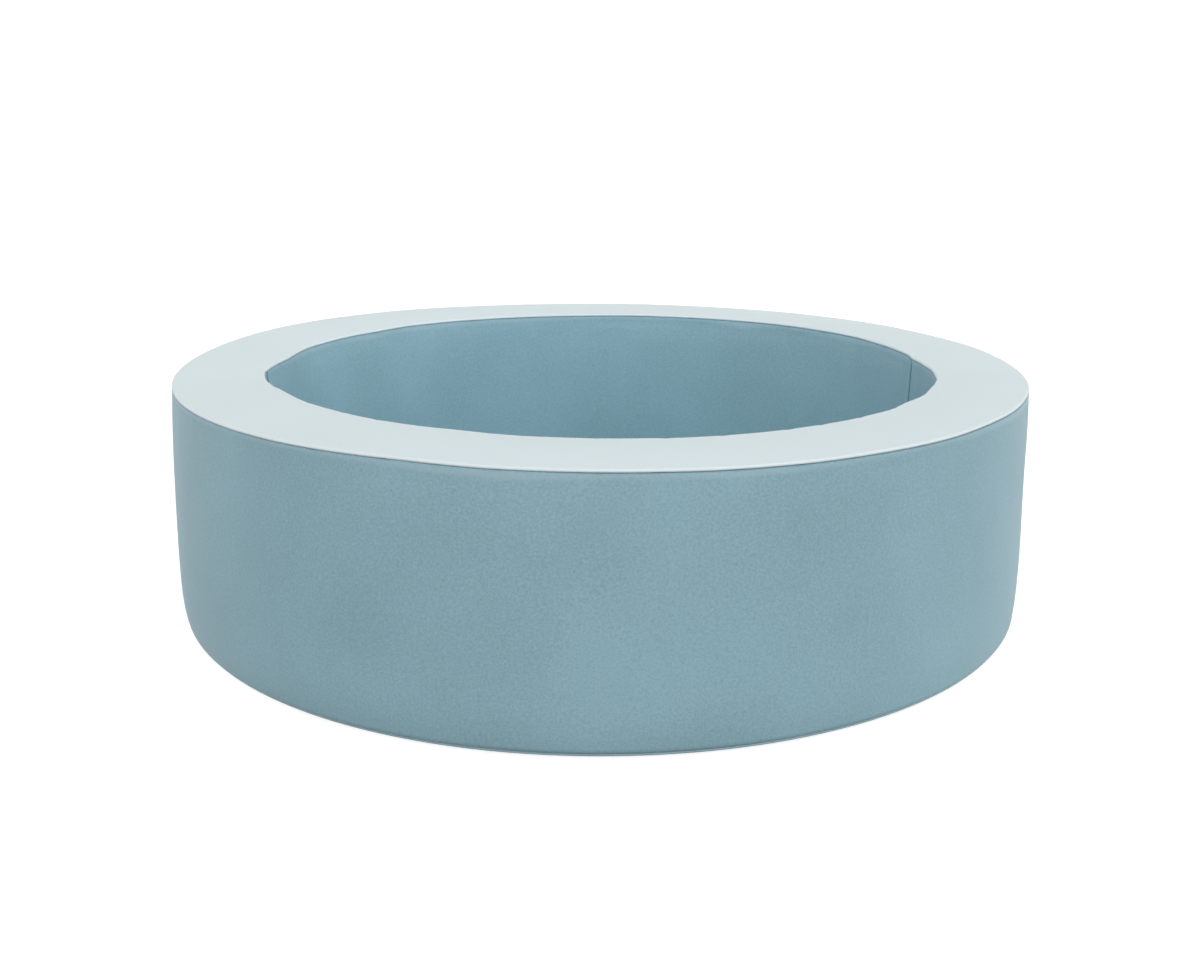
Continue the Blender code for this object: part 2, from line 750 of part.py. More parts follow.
def mat_edge_points(level, up):
    """The 45 degree point and the flat point of the mat's rolled edge at a level."""
    centre = mat_radius - MAT_EDGE_RADIUS
    middle = level - up * MAT_EDGE_RADIUS
    seam_turn = math.pi / 4 + seam_half_opening / MAT_EDGE_RADIUS
    rolled = corner_point(centre, middle, MAT_EDGE_RADIUS, seam_turn, up)
    return rolled, (centre, level)


def build_mat_covers(parts, finish, underside):
    """The mat's crowned top panel, its side band and its bottom panel with the zip's slot."""
    rolled, flat = mat_edge_points(MAT_THICKNESS, 1)
    crown = [
        (share * flat[0], MAT_THICKNESS + MAT_CROWN * (1 - share**2))
        for share in reversed(MAT_RING_SHARES)
    ]
    mesh = bmesh.new()
    outline = [rolled, flat, *crown, (0, MAT_THICKNESS + MAT_CROWN)]
    verts, edges = profile_in(mesh, outline)
    spin_on(mesh, verts + edges, math.tau, MAT_COLUMNS)
    bmesh.ops.remove_doubles(mesh, verts=mesh.verts, dist=TOUCH_GAP / 10)
    made = add_object("mat_top_panel", mesh, finish, parts)
    face_up(made)
    shell(made)

    centre = mat_radius - MAT_EDGE_RADIUS
    levels = (MAT_EDGE_RADIUS, MAT_THICKNESS - MAT_EDGE_RADIUS)
    seam_turn = math.pi / 4 - seam_half_opening / MAT_EDGE_RADIUS
    band = [
        corner_point(centre, levels[0], MAT_EDGE_RADIUS, seam_turn, -1),
        (mat_radius, levels[0]),
        (mat_radius + MAT_BAND_SWELL, MAT_THICKNESS / 2),
        (mat_radius, levels[1]),
        corner_point(centre, levels[1], MAT_EDGE_RADIUS, seam_turn, 1),
    ]
    mesh = bmesh.new()
    verts, edges = profile_in(mesh, band)
    spin_on(mesh, verts + edges, math.tau, MAT_COLUMNS)
    bmesh.ops.remove_doubles(mesh, verts=mesh.verts, dist=TOUCH_GAP / 10)
    made = add_object("mat_side_band", mesh, finish, parts)
    face_out(made)
    shell(made)
    build_mat_bottom(parts, underside)


def recess_height(along, across):
    """How far the mat's underside rises towards its zip."""
    lip = ZIP_SLOT_WIDTH / 2 + TAPE_MARGIN / 2
    sides = (mat_recess_half_width - abs(across)) / (mat_recess_half_width - lip)
    ends = (mat_recess_half_length + TAPE_WIDTH - abs(along)) / TAPE_WIDTH
    return mat_lip_height * min(1.0, max(0.0, sides)) * min(1.0, max(0.0, ends))


def build_mat_bottom(parts, finish):
    """The mat's bottom panel: flat, but raised round the zip, and slotted for it."""
    rolled, flat = mat_edge_points(0, -1)
    mesh = bmesh.new()
    bmesh.ops.create_circle(mesh, cap_ends=True, radius=flat[0], segments=MAT_COLUMNS)
    bmesh.ops.rotate(
        mesh, verts=mesh.verts, cent=(0, 0, 0), matrix=Matrix.Rotation(-math.pi / 2, 3, "Z")
    )
    rim = bmesh.ops.extrude_edge_only(mesh, edges=mesh.edges[:])
    raised = [item for item in rim["geom"] if isinstance(item, bmesh.types.BMVert)]
    bmesh.ops.scale(mesh, vec=(rolled[0] / flat[0], rolled[0] / flat[0], 1), verts=raised)
    bmesh.ops.translate(mesh, vec=(0, 0, rolled[1]), verts=raised)
    slot_half = ZIP_SLOT_WIDTH / 2
    lines = [(0, side * at) for side in (-1, 1) for at in (
        slot_half, slot_half + TAPE_MARGIN / 2, mat_recess_half_width)]
    lines += [(side * at, 0) for side in (-1, 1) for at in (
        MAT_ZIP_LENGTH / 2, mat_recess_half_length, mat_recess_half_length + TAPE_WIDTH)]
    for x, y in lines:
        bmesh.ops.bisect_plane(
            mesh,
            geom=mesh.verts[:] + mesh.edges[:] + mesh.faces[:],
            plane_co=(x, y, 0),
            plane_no=(1, 0, 0) if x else (0, 1, 0),
            dist=TOUCH_GAP / 10,
        )
    slot = [
        face
        for face in mesh.faces
        if abs(face.calc_center_median().y) < slot_half
        and abs(face.calc_center_median().x) < MAT_ZIP_LENGTH / 2
    ]
    bmesh.ops.delete(mesh, geom=slot, context="FACES")
    for vert in mesh.verts:
        vert.co.z += recess_height(vert.co.x, vert.co.y)
    made = add_object("mat_bottom_panel", mesh, finish, parts)
    face_up(made, upwards=False)
    shell(made)


def build_mat_foam(parts, cutters, finish):
    """The mat's foam disc, channelled for the zip."""
    offset = cover_offset
    radius = mat_radius - offset
    bottom = offset
    top = MAT_THICKNESS - offset
    edge = MAT_EDGE_RADIUS
    crown = [
        (share * (radius - edge), top + MAT_CROWN * (1 - share**2) - TOUCH_GAP)
        for share in reversed(MAT_RING_SHARES)
    ]
    outline = [
        (0, bottom),
        (radius - edge, bottom),
        (radius, bottom + edge),
        (radius, top - edge),
        (radius - edge, top - TOUCH_GAP),
        *crown,
        (0, top + MAT_CROWN - TOUCH_GAP),
    ]
    mesh = bmesh.new()
    verts, edges = profile_in(mesh, outline)
    spin_on(mesh, verts + edges, math.tau, MAT_COLUMNS)
    bmesh.ops.remove_doubles(mesh, verts=mesh.verts, dist=TOUCH_GAP / 10)
    made = add_object("mat_foam", mesh, finish, parts)
    half_length = mat_recess_half_length + TAPE_WIDTH + TAPE_MARGIN
    half_width = mat_recess_half_width + TAPE_MARGIN
    low = (-half_length, -half_width, -OVERRUN)
    high = (half_length, half_width, mat_channel_top)
    cut(made, box_mesh(low, high), cutters)


def build_mat_zip(parts, cutters, tape_finish, coil_finish, metal):
    """The straight zip across the mat's underside."""
    half = MAT_ZIP_LENGTH / 2
    for side, out in (("near", -1), ("far", 1)):
        edges = sorted((out * CHAIN_GAP / 2, out * TAPE_WIDTH))
        low = (-half - TAPE_MARGIN, edges[0], mat_tape_height)
        high = (half + TAPE_MARGIN, edges[1], mat_tape_height + TAPE_THICKNESS)
        add_object("mat_zip_tape_" + side, box_mesh(low, high), tape_finish, parts)
        edges = sorted((out * CHAIN_GAP / 2, out * coil_outer_edge))
        low = (-half + 2 * TOUCH_GAP, edges[0], mat_tape_height - coil_top)
        high = (half - 2 * TOUCH_GAP, edges[1], mat_tape_height - coil_base)
        add_object("mat_zip_coil_" + side, box_mesh(low, high), coil_finish, parts)
    build_stop("mat_zip_closed_stop", mat_zip_place(-half + STOP_LENGTH), metal, parts, cutters)
    build_stop("mat_zip_open_stop", mat_zip_place(half - STOP_LENGTH), metal, parts, cutters)
    rest = -half + 2 * STOP_LENGTH + SLIDER_LENGTH / 2
    turned = mat_zip_place(rest) @ Matrix.Rotation(math.pi, 4, "Z")
    build_slider("mat_zip", turned, metal, parts, cutters)


def main():
    for old in list(bpy.data.objects):
        bpy.data.objects.remove(old, do_unlink=True)
    parts = collection("Ball pit")
    cutters = collection("Cutters")
    wall = material("Wall leatherette", WALL_TEAL, 0.50)
    top = material("Top leatherette", PALE_TOP, 0.48)
    underside = material("Underside cloth", LINING_GREY, 0.85)
    foam = material("Foam", FOAM_CREAM, 0.95)
    tape = material("Zip tape", TAPE_TEAL, 0.90)
    coil = material("Zip coil", TAPE_TEAL, 0.45)
    metal = material("Zip metal", SLIDER_GREY, 0.35, metallic=1.0)
    build_wall_panels(parts, wall)
    build_ring_panels(parts, top, underside)
    build_foam(parts, foam)
    build_cover_zip(parts, cutters, tape, coil, metal)
    build_mat_covers(parts, wall, underside)
    build_mat_foam(parts, cutters, foam)
    build_mat_zip(parts, cutters, tape, coil, metal)


main()
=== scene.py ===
"""Looks of a round soft ball pit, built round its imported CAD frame.

A thick foam ring stands on the floor in a sewn leatherette cover, and a padded mat lies inside it.
Every sub-assembly is a class with its own sizes, in metres, and every finish is a class that makes
its material. The cover's panels are profiles spun round the ring's axis, drawn in at their seams
and swelled by a short cloth simulation.
"""

from __future__ import annotations

import logging
import math
from dataclasses import dataclass
from enum import Enum
from typing import Any, Sequence

import bmesh
import bpy
import numpy as np
from bmesh.types import BMEdge, BMesh, BMFace, BMVert
from bpy.types import Material, Mesh, NodeSocket, Object
from mathutils import Matrix, Vector


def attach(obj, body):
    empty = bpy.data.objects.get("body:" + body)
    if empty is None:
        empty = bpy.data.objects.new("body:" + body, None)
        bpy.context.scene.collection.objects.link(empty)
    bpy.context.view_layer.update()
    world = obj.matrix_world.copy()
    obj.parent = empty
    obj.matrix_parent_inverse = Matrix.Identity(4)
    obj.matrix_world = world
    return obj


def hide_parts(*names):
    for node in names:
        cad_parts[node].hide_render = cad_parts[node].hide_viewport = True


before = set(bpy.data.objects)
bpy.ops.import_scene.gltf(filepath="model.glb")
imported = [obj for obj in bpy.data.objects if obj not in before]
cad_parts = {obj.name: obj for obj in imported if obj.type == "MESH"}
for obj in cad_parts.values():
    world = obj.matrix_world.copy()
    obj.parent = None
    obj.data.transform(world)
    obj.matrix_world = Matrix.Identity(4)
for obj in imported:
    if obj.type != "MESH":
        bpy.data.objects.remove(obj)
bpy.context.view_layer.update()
LOG = logging.getLogger("ball_pit")
Grid = np.ndarray
Pair = tuple[float, float]
Triple = tuple[float, float, float]
Outline = Sequence[Pair]
Colour = Triple

# Vertex attributes: painted shade in the seams' grooves, and a painted highlight on their rolled
# lips.
PAINTED_SEAM_LIGHT = ("painted_seam_shade", "painted_seam_highlight")
NOISE_BODY: Pair = (0.3, 0.7)  # holds nearly all the values of a noise texture
MARK_BODY: Pair = (0.35, 0.7)  # holds the values of a noise that show as marks
WAVE_RATE = 10.0  # a wave texture turns by twice this for each unit of its coordinate


class Body(Enum):
    """The bodies that pieces ride on."""

    RING = "pit_ring"
    MAT = "floor_mat"
    COVER_SLIDER = "cover_zip_slider"
    COVER_PULL = "cover_zip_pull"
    MAT_SLIDER = "mat_zip_slider"
    MAT_PULL = "mat_zip_pull"


class Slot(Enum):
    """The record's material slots."""

    FOAM = "foam"
    WALL = "wall_leatherette"
    TOP = "top_leatherette"
    UNDERSIDE = "underside_cloth"
    TAPE = "zip_tape"
    COIL = "zip_coil"
    METAL = "zip_metal"


class Half(Enum):
    """The two halves of the ring, by the angle where each starts."""

    FAR = 0.0
    NEAR = math.pi


class Hold(Enum):
    """How a sheet of the cover is held."""

    STRETCHED = "stretched"
    LAID = "laid"


def ramp(value: Grid | float, low: float, high: float) -> Grid:
    """Rise smoothly from 0 at low to 1 at high.

    Args:
        value: where to read the step.
        low: the value at which the rise starts.
        high: the value at which it ends; it may be below low.

    Returns:
        The step's height, from 0 to 1.
    """
    share = np.clip((np.asarray(value) - low) / (high - low), 0.0, 1.0)
    return share * share * (3.0 - 2.0 * share)


# Finishes


class NodeBoard:
    """A node tree with short ways to add nodes and join them."""

    def __init__(self, owner: Any) -> None:
        """Take over the tree of a material or world."""
        owner.use_nodes = True
        self.tree = owner.node_tree

    def add(self, kind: str, inputs: dict[str | int, Any] | None = None, **settings: Any) -> Any:
        """Add a node.

        Args:
            kind: the node's type.
            inputs: for each input, a value, or a socket to join to it.
            settings: the node's own settings.

        Returns:
            The new node.
        """
        node = self.tree.nodes.new(kind)
        for name, value in settings.items():
            setattr(node, name, value)
        for name, value in (inputs or {}).items():
            self.feed(node.inputs[name], value)
        return node

    def feed(self, socket: Any, value: Any) -> None:
        """Give an input a value or join a socket to it.

        Args:
            socket: the input.
            value: its value, or the socket that feeds it.
        """
        if isinstance(value, NodeSocket):
            self.tree.links.new(value, socket)
        else:
            socket.default_value = value

    def span(self, value: Any, low: float, high: float, to_low: float, to_high: float) -> Any:
        """Return a value brought from one range to another."""
        numbers = (value, low, high, to_low, to_high)
        return self.add("ShaderNodeMapRange", dict(enumerate(numbers))).outputs[0]

    def sum(self, first: Any, second: Any, kind: str = "ADD") -> Any:
        """Return two values added, or joined as kind says."""
        return self.add("ShaderNodeMath", {0: first, 1: second}, operation=kind).outputs[0]


class MaterialBoard(NodeBoard):
    """A new material with one shader."""

    def __init__(self, name: str) -> None:
        """Start the material.

        Args:
            name: the material's name.
        """
        self.material = bpy.data.materials.new(name)
        super().__init__(self.material)
        self.tree.nodes.clear()
        output = self.tree.nodes.new("ShaderNodeOutputMaterial")
        self.shader = self.tree.nodes.new("ShaderNodeBsdfPrincipled")
        self.tree.links.new(self.shader.outputs["BSDF"], output.inputs["Surface"])
        self.position = self.add("ShaderNodeTexCoord").outputs["Object"]

    def dress(self, **inputs: Any) -> None:
        """Set the shader's inputs, named with underscores for spaces."""
        for name, value in inputs.items():
            self.feed(self.shader.inputs[name.replace("_", " ")], value)

    def noise(self, scale: float, detail: float = 2.0, roughness: float = 0.5) -> Any:
        """Return the height of a noise on the object's own coordinates."""
        inputs = {"Vector": self.position, "Scale": scale, "Detail": detail, "Roughness": roughness}
        return self.add("ShaderNodeTexNoise", inputs).outputs["Fac"]

    def cells(self, scale: float) -> Any:
        """Return the distance from the middles of irregular cells."""
        inputs = {"Vector": self.position, "Scale": scale}
        return self.add("ShaderNodeTexVoronoi", inputs).outputs["Distance"]

    def blend(self, share: Any, first: Any, second: Any) -> Any:
        """Mix two colours.

        Args:
            share: how much of the second there is, from 0 to 1.
            first: a colour or a socket.
            second: a colour or a socket.

        Returns:
            The socket of the mixed colour.
        """
        mix = self.add("ShaderNodeMix", data_type="RGBA")
        colours = [(*item, 1.0) if isinstance(item, tuple) else item for item in (first, second)]
        named = {item.identifier: item for item in mix.inputs}
        self.feed(named["Factor_Float"], share)
        self.feed(named["A_Color"], colours[0])
        self.feed(named["B_Color"], colours[1])
        return {item.identifier: item for item in mix.outputs}["Result_Color"]

    def attribute(self, name: str) -> Any:
        """Return a vertex attribute's value."""
        return self.add("ShaderNodeAttribute", attribute_name=name).outputs["Fac"]

    def around(self, noise: Any, middle: float, down: float, up: float) -> Any:
        """Return a value that strays with a noise from its middle, by down to up."""
        return self.span(noise, *NOISE_BODY, middle + down, middle + up)

    def relief(self, height: Any, distance: float, strength: float) -> None:
        """Give the shader a bump from a height."""
        inputs = {"Height": height, "Distance": distance, "Strength": strength}
        self.dress(Normal=self.add("ShaderNodeBump", inputs).outputs["Normal"])


def toned(colour: Colour, share: float) -> Colour:
    """Return a colour made lighter or darker by a share."""
    return tuple(min(1.0, part * share) for part in colour)


@dataclass(frozen=True)
class Leatherette:
    """A fine-grained satin leatherette, with painted shade in its seams and a painted highlight on
    their lips.
    """

    name: str
    colour: Colour
    # groove is the colour of the painted shade in the seams; lip is the colour of the painted
    # highlight on their lips.
    groove: Colour
    lip: Colour
    roughness: float = 0.46
    gloss_spread: float = 0.05
    specular: float = 0.16
    speckle: float = 0.13
    pebble_scale: float = 620.0
    pore_scale: float = 2100.0
    mottle_scale: float = 420.0
    mottle_detail: float = 3.0
    mottle_crispness: float = 0.6
    mottle_body: Pair = (0.28, 0.72)
    drift_scale: float = 6.0
    drift_reach: float = 0.2
    grain_depth: float = 0.00016
    grain_strength: float = 0.35

    def make(self) -> Material:
        """Make the leatherette.

        Returns:
            The material.
        """
        board = MaterialBoard(self.name)
        mottle = board.noise(self.mottle_scale, self.mottle_detail, self.mottle_crispness)
        drift = board.noise(self.drift_scale)
        tone = board.sum(
            board.span(mottle, *self.mottle_body, 0.0, 1.0),
            board.span(drift, *NOISE_BODY, -self.drift_reach, self.drift_reach),
        )
        dark, pale = toned(self.colour, 1 - self.speckle), toned(self.colour, 1 + self.speckle)
        cloth = board.blend(tone, dark, pale)
        # The seam attributes lay painted shade (groove colour) in the seams and a painted highlight
        # (lip colour) on their lips.
        painted_shade, painted_highlight = (board.attribute(name) for name in PAINTED_SEAM_LIGHT)
        with_painted_light = board.blend(painted_highlight, board.blend(painted_shade, cloth, self.groove), self.lip)
        grain = board.sum(board.cells(self.pebble_scale), board.noise(self.pore_scale))
        board.relief(grain, self.grain_depth, self.grain_strength)
        rough = board.around(mottle, self.roughness, -self.gloss_spread, self.gloss_spread)
        board.dress(Base_Color=with_painted_light, Roughness=rough, Specular_IOR_Level=self.specular)
        return board.material


@dataclass(frozen=True)
class WovenCloth:
    """A plain woven cloth or tape, with its threads along the object's axes or its own UV map, and
    a painted highlight on its turned-up edges.
    """

    name: str
    colour: Colour
    thread_gap: float = 0.0009
    relief_depth: float = 0.00015
    relief_strength: float = 0.6
    thread_waver: float = 0.4
    waver_scale: float = 2.0
    fibre_scale: float = 900.0
    fibre_detail: float = 3.0
    fibre_crispness: float = 0.6
    weave_share: float = 0.6
    fibre_share: float = 0.5
    shades: Pair = (0.72, 1.22)
    edge_highlight: float = 2.2
    roughness: float = 0.85
    gloss_spread: float = 0.06
    sheen: float = 0.25
    sheen_roughness: float = 0.5
    by_uv: bool = False

    def make(self) -> Material:
        """Make the cloth.

        Returns:
            The material.
        """
        board = MaterialBoard(self.name)
        place = board.position
        if self.by_uv:
            place = board.add("ShaderNodeTexCoord").outputs["UV"]
        inputs = {
            "Vector": place,
            "Scale": math.pi / self.thread_gap / WAVE_RATE,
            "Distortion": self.thread_waver,
            "Detail Scale": self.waver_scale,
        }
        ribs = [
            board.add("ShaderNodeTexWave", inputs, bands_direction=way).outputs["Fac"]
            for way in ("X", "Y")
        ]
        weave = board.sum(*ribs, "MULTIPLY")
        fibre = board.noise(self.fibre_scale, self.fibre_detail, self.fibre_crispness)
        tone = board.sum(
            board.span(weave, 0.0, 1.0, 0.0, self.weave_share),
            board.span(fibre, *NOISE_BODY, 0.0, self.fibre_share),
        )
        dark, pale = (toned(self.colour, shade) for shade in self.shades)
        cloth = board.blend(tone, dark, pale)
        # The edges marked by the seam highlight attribute take a painted highlight.
        edge = toned(self.colour, self.edge_highlight)
        with_painted_light = board.blend(board.attribute(PAINTED_SEAM_LIGHT[1]), cloth, edge)
        board.relief(weave, self.relief_depth, self.relief_strength)
        rough = board.around(fibre, self.roughness, -self.gloss_spread, self.gloss_spread)
        board.dress(Base_Color=with_painted_light, Roughness=rough)
        board.dress(Sheen_Weight=self.sheen, Sheen_Roughness=self.sheen_roughness)
        return board.material


@dataclass(frozen=True)
class OpenFoam:
    """Yellowed open-celled foam, with pores of two sizes darkened in their hollows as painted
    shade, and painted shade over its channel.
    """

    name: str
    colour: Colour
    channel_shade_colour: Colour
    pore_scale: float = 620.0
    crumb_scale: float = 210.0
    crumb_detail: float = 4.0
    crumb_crispness: float = 0.6
    pore_body: Pair = (0.4, 1.3)
    pore_depth: float = 0.0005
    pore_strength: float = 0.7
    shades: Pair = (1.06, 0.72)
    roughness: Pair = (0.86, 0.98)

    def make(self) -> Material:
        """Make the foam.

        Returns:
            The material.
        """
        board = MaterialBoard(self.name)
        pores = board.cells(self.pore_scale)
        crumbs = board.noise(self.crumb_scale, self.crumb_detail, self.crumb_crispness)
        depth = board.sum(pores, crumbs)
        tone = board.span(depth, *self.pore_body, 0.0, 1.0)
        # The pores' hollows are darker than their rims: painted shade.
        skin, inside = (toned(self.colour, shade) for shade in self.shades)
        foam = board.blend(tone, skin, inside)
        # The channel behind the zip is painted a dark colour: painted shade.
        channel_shaded = board.blend(board.attribute("channel_shaded"), foam, self.channel_shade_colour)
        board.relief(depth, self.pore_depth, self.pore_strength)
        board.dress(Base_Color=channel_shaded, Roughness=board.span(crumbs, *NOISE_BODY, *self.roughness))
        return board.material


@dataclass(frozen=True)
class CoilPlastic:
    """The zip's satin filament and the thread, rubbed a little on its crests."""

    name: str
    colour: Colour
    roughness: float = 0.38
    metallic: float = 0.0
    shades: Pair = (0.85, 1.3)
    gloss_spread: Pair = (-0.06, 0.1)
    marks: Triple = (240.0, 3.0, 0.6)
    relief: Pair = (3000.0, 2.0)
    relief_depth: float = 0.00003
    relief_strength: float = 0.4

    def make(self) -> Material:
        """Make the finish, with faint marks in its colour and gloss over a very fine relief.

        Returns:
            The material.
        """
        board = MaterialBoard(self.name)
        marks = board.noise(*self.marks)
        dark, pale = (toned(self.colour, shade) for shade in self.shades)
        colour = board.blend(board.span(marks, *MARK_BODY, 0.0, 1.0), dark, pale)
        board.relief(board.noise(*self.relief), self.relief_depth, self.relief_strength)
        rough = board.around(marks, self.roughness, *self.gloss_spread)
        board.dress(Base_Color=colour, Roughness=rough, Metallic=self.metallic)
        return board.material


@dataclass(frozen=True)
class PaintedMetal(CoilPlastic):
    """Die-cast metal under satin paint, with faint speckle and handling marks."""

    roughness: float = 0.34
    metallic: float = 0.75
    shades: Pair = (0.82, 1.2)
    gloss_spread: Pair = (-0.07, 0.12)
    marks: Triple = (420.0, 5.0, 0.7)
    relief: Pair = (1500.0, 3.0)
    relief_depth: float = 0.00004
    relief_strength: float = 0.35


@dataclass(frozen=True)
class Finishes:
    """Every finish of the pit, made once."""

    wall: Material
    top: Material
    underside: Material
    foam: Material
    tape: Material
    thread: Material
    coil: Material
    metal: Material

    @classmethod
    def make(cls) -> Finishes:
        """Make every finish, each in its own colours.

        Returns:
            The pit's finishes.
        """
        # The groove colours are painted shade in the seams, and the lip colours painted highlights
        # on their lips.
        wall = Leatherette(
            "wall_leatherette",
            colour=(0.255, 0.413, 0.475),
            groove=(0.105, 0.225, 0.280),
            lip=(0.40, 0.54, 0.60),
        )
        # The top's colour is far paler than the wall's: partly the top panel's own paler tone, and
        # partly painted light from the bright light above.
        top = Leatherette(
            "top_leatherette",
            colour=(0.575, 0.650, 0.672),
            groove=(0.30, 0.42, 0.47),
            lip=(0.78, 0.83, 0.85),
            specular=0.04,
            speckle=0.025,
        )
        return cls(
            wall=wall.make(),
            top=top.make(),
            underside=WovenCloth("underside_cloth", (0.16, 0.25, 0.29)).make(),
            # The foam's second colour is painted shade over the zip's channel.
            foam=OpenFoam("open_foam", (0.80, 0.75, 0.60), (0.06, 0.14, 0.175)).make(),
            tape=WovenCloth("zip_tape", (0.07, 0.16, 0.20), 0.0007, 0.0001, by_uv=True).make(),
            thread=CoilPlastic("sewing_thread", (0.20, 0.34, 0.39), 0.6).make(),
            coil=CoilPlastic("zip_coil", (0.06, 0.14, 0.175)).make(),
            metal=PaintedMetal("zip_metal", (0.36, 0.40, 0.42)).make(),
        )


# The pieces' common making


@dataclass(frozen=True)
class Piece:
    """What a finished mesh stands for and rides on."""

    name: str
    body: Body
    slot: Slot
    finish: Material
    nodes: tuple[str, ...] = ()

    def make(self, shape: BMesh) -> Object:
        """Turn a bmesh into the finished object.

        Args:
            shape: the piece's shape, in the frame's coordinates.

        Returns:
            The new object, which rides on its body.
        """
        mesh = bpy.data.meshes.new(self.name)
        shape.to_mesh(mesh)
        shape.free()
        return self.finish_mesh(mesh)

    def finish_mesh(self, mesh: Mesh) -> Object:
        """Dress a mesh and let it ride on its body.

        Args:
            mesh: the piece's mesh, in the frame's coordinates.

        Returns:
            The new object.
        """
        mesh.materials.clear()
        mesh.materials.append(self.finish)
        mesh.polygons.foreach_set("use_smooth", [True] * len(mesh.polygons))
        made = bpy.data.objects.new(self.name, mesh)
        bpy.context.scene.collection.objects.link(made)
        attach(made, self.body.value)
        if self.nodes:
            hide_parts(*self.nodes)
        LOG.info("%s: %d faces", self.name, len(mesh.polygons))
        return made


def add_thickness(made: Object, thickness: float) -> None:
    """Give a sheet its thickness, inwards from its outer face."""
    solid = made.modifiers.new("thickness", "SOLIDIFY")
    solid.thickness, solid.offset = thickness, -1.0


def round_stations(count: int) -> Grid:
    """Return the angles of columns all the way round."""
    return np.arange(count) / count * math.tau


def spin(shape: BMesh, verts: list[Any], turn: float, steps: int, loop: bool = False) -> None:
    """Spin a profile round the upright axis.

    Args:
        shape: the shape that it belongs to.
        verts: its vertices in order, which this joins with edges.
        turn: how far it is spun; a full turn is closed.
        steps: how many steps there are.
        loop: whether the profile itself is closed.
    """
    ends = verts[1:] + verts[:1] if loop else verts[1:]
    whole = verts + [shape.edges.new(pair) for pair in zip(verts, ends)]
    middle, up, full = (0, 0, 0), (0, 0, 1), turn == math.tau
    bmesh.ops.spin(shape, geom=whole, cent=middle, axis=up, angle=turn, steps=steps, use_merge=full)


def both_sides(places: Sequence[float]) -> list[float]:
    """Return places on both sides of the middle."""
    return [side * place for side in (-1, 1) for place in places]


def extrude_rim(shape: BMesh, edges: list[Any]) -> tuple[list[Any], list[Any]]:
    """Extrude a loop of edges, where it stands.

    Args:
        shape: the shape that they belong to.
        edges: the loop.

    Returns:
        The new loop's vertices and edges.
    """
    made = bmesh.ops.extrude_edge_only(shape, edges=edges)["geom"]
    verts = [item for item in made if isinstance(item, BMVert)]
    edges = [item for item in made if isinstance(item, BMEdge)]
    return verts, [edge for edge in edges if set(verts).issuperset(edge.verts)]


def face_along_z(shape: BMesh, way: int) -> None:
    """Face a nearly flat shape up or down.

    Args:
        shape: the shape.
        way: 1 for up and -1 for down.
    """
    bmesh.ops.recalc_face_normals(shape, faces=shape.faces)
    if way * sum(face.normal.z * face.calc_area() for face in shape.faces) < 0:
        bmesh.ops.reverse_faces(shape, faces=shape.faces)


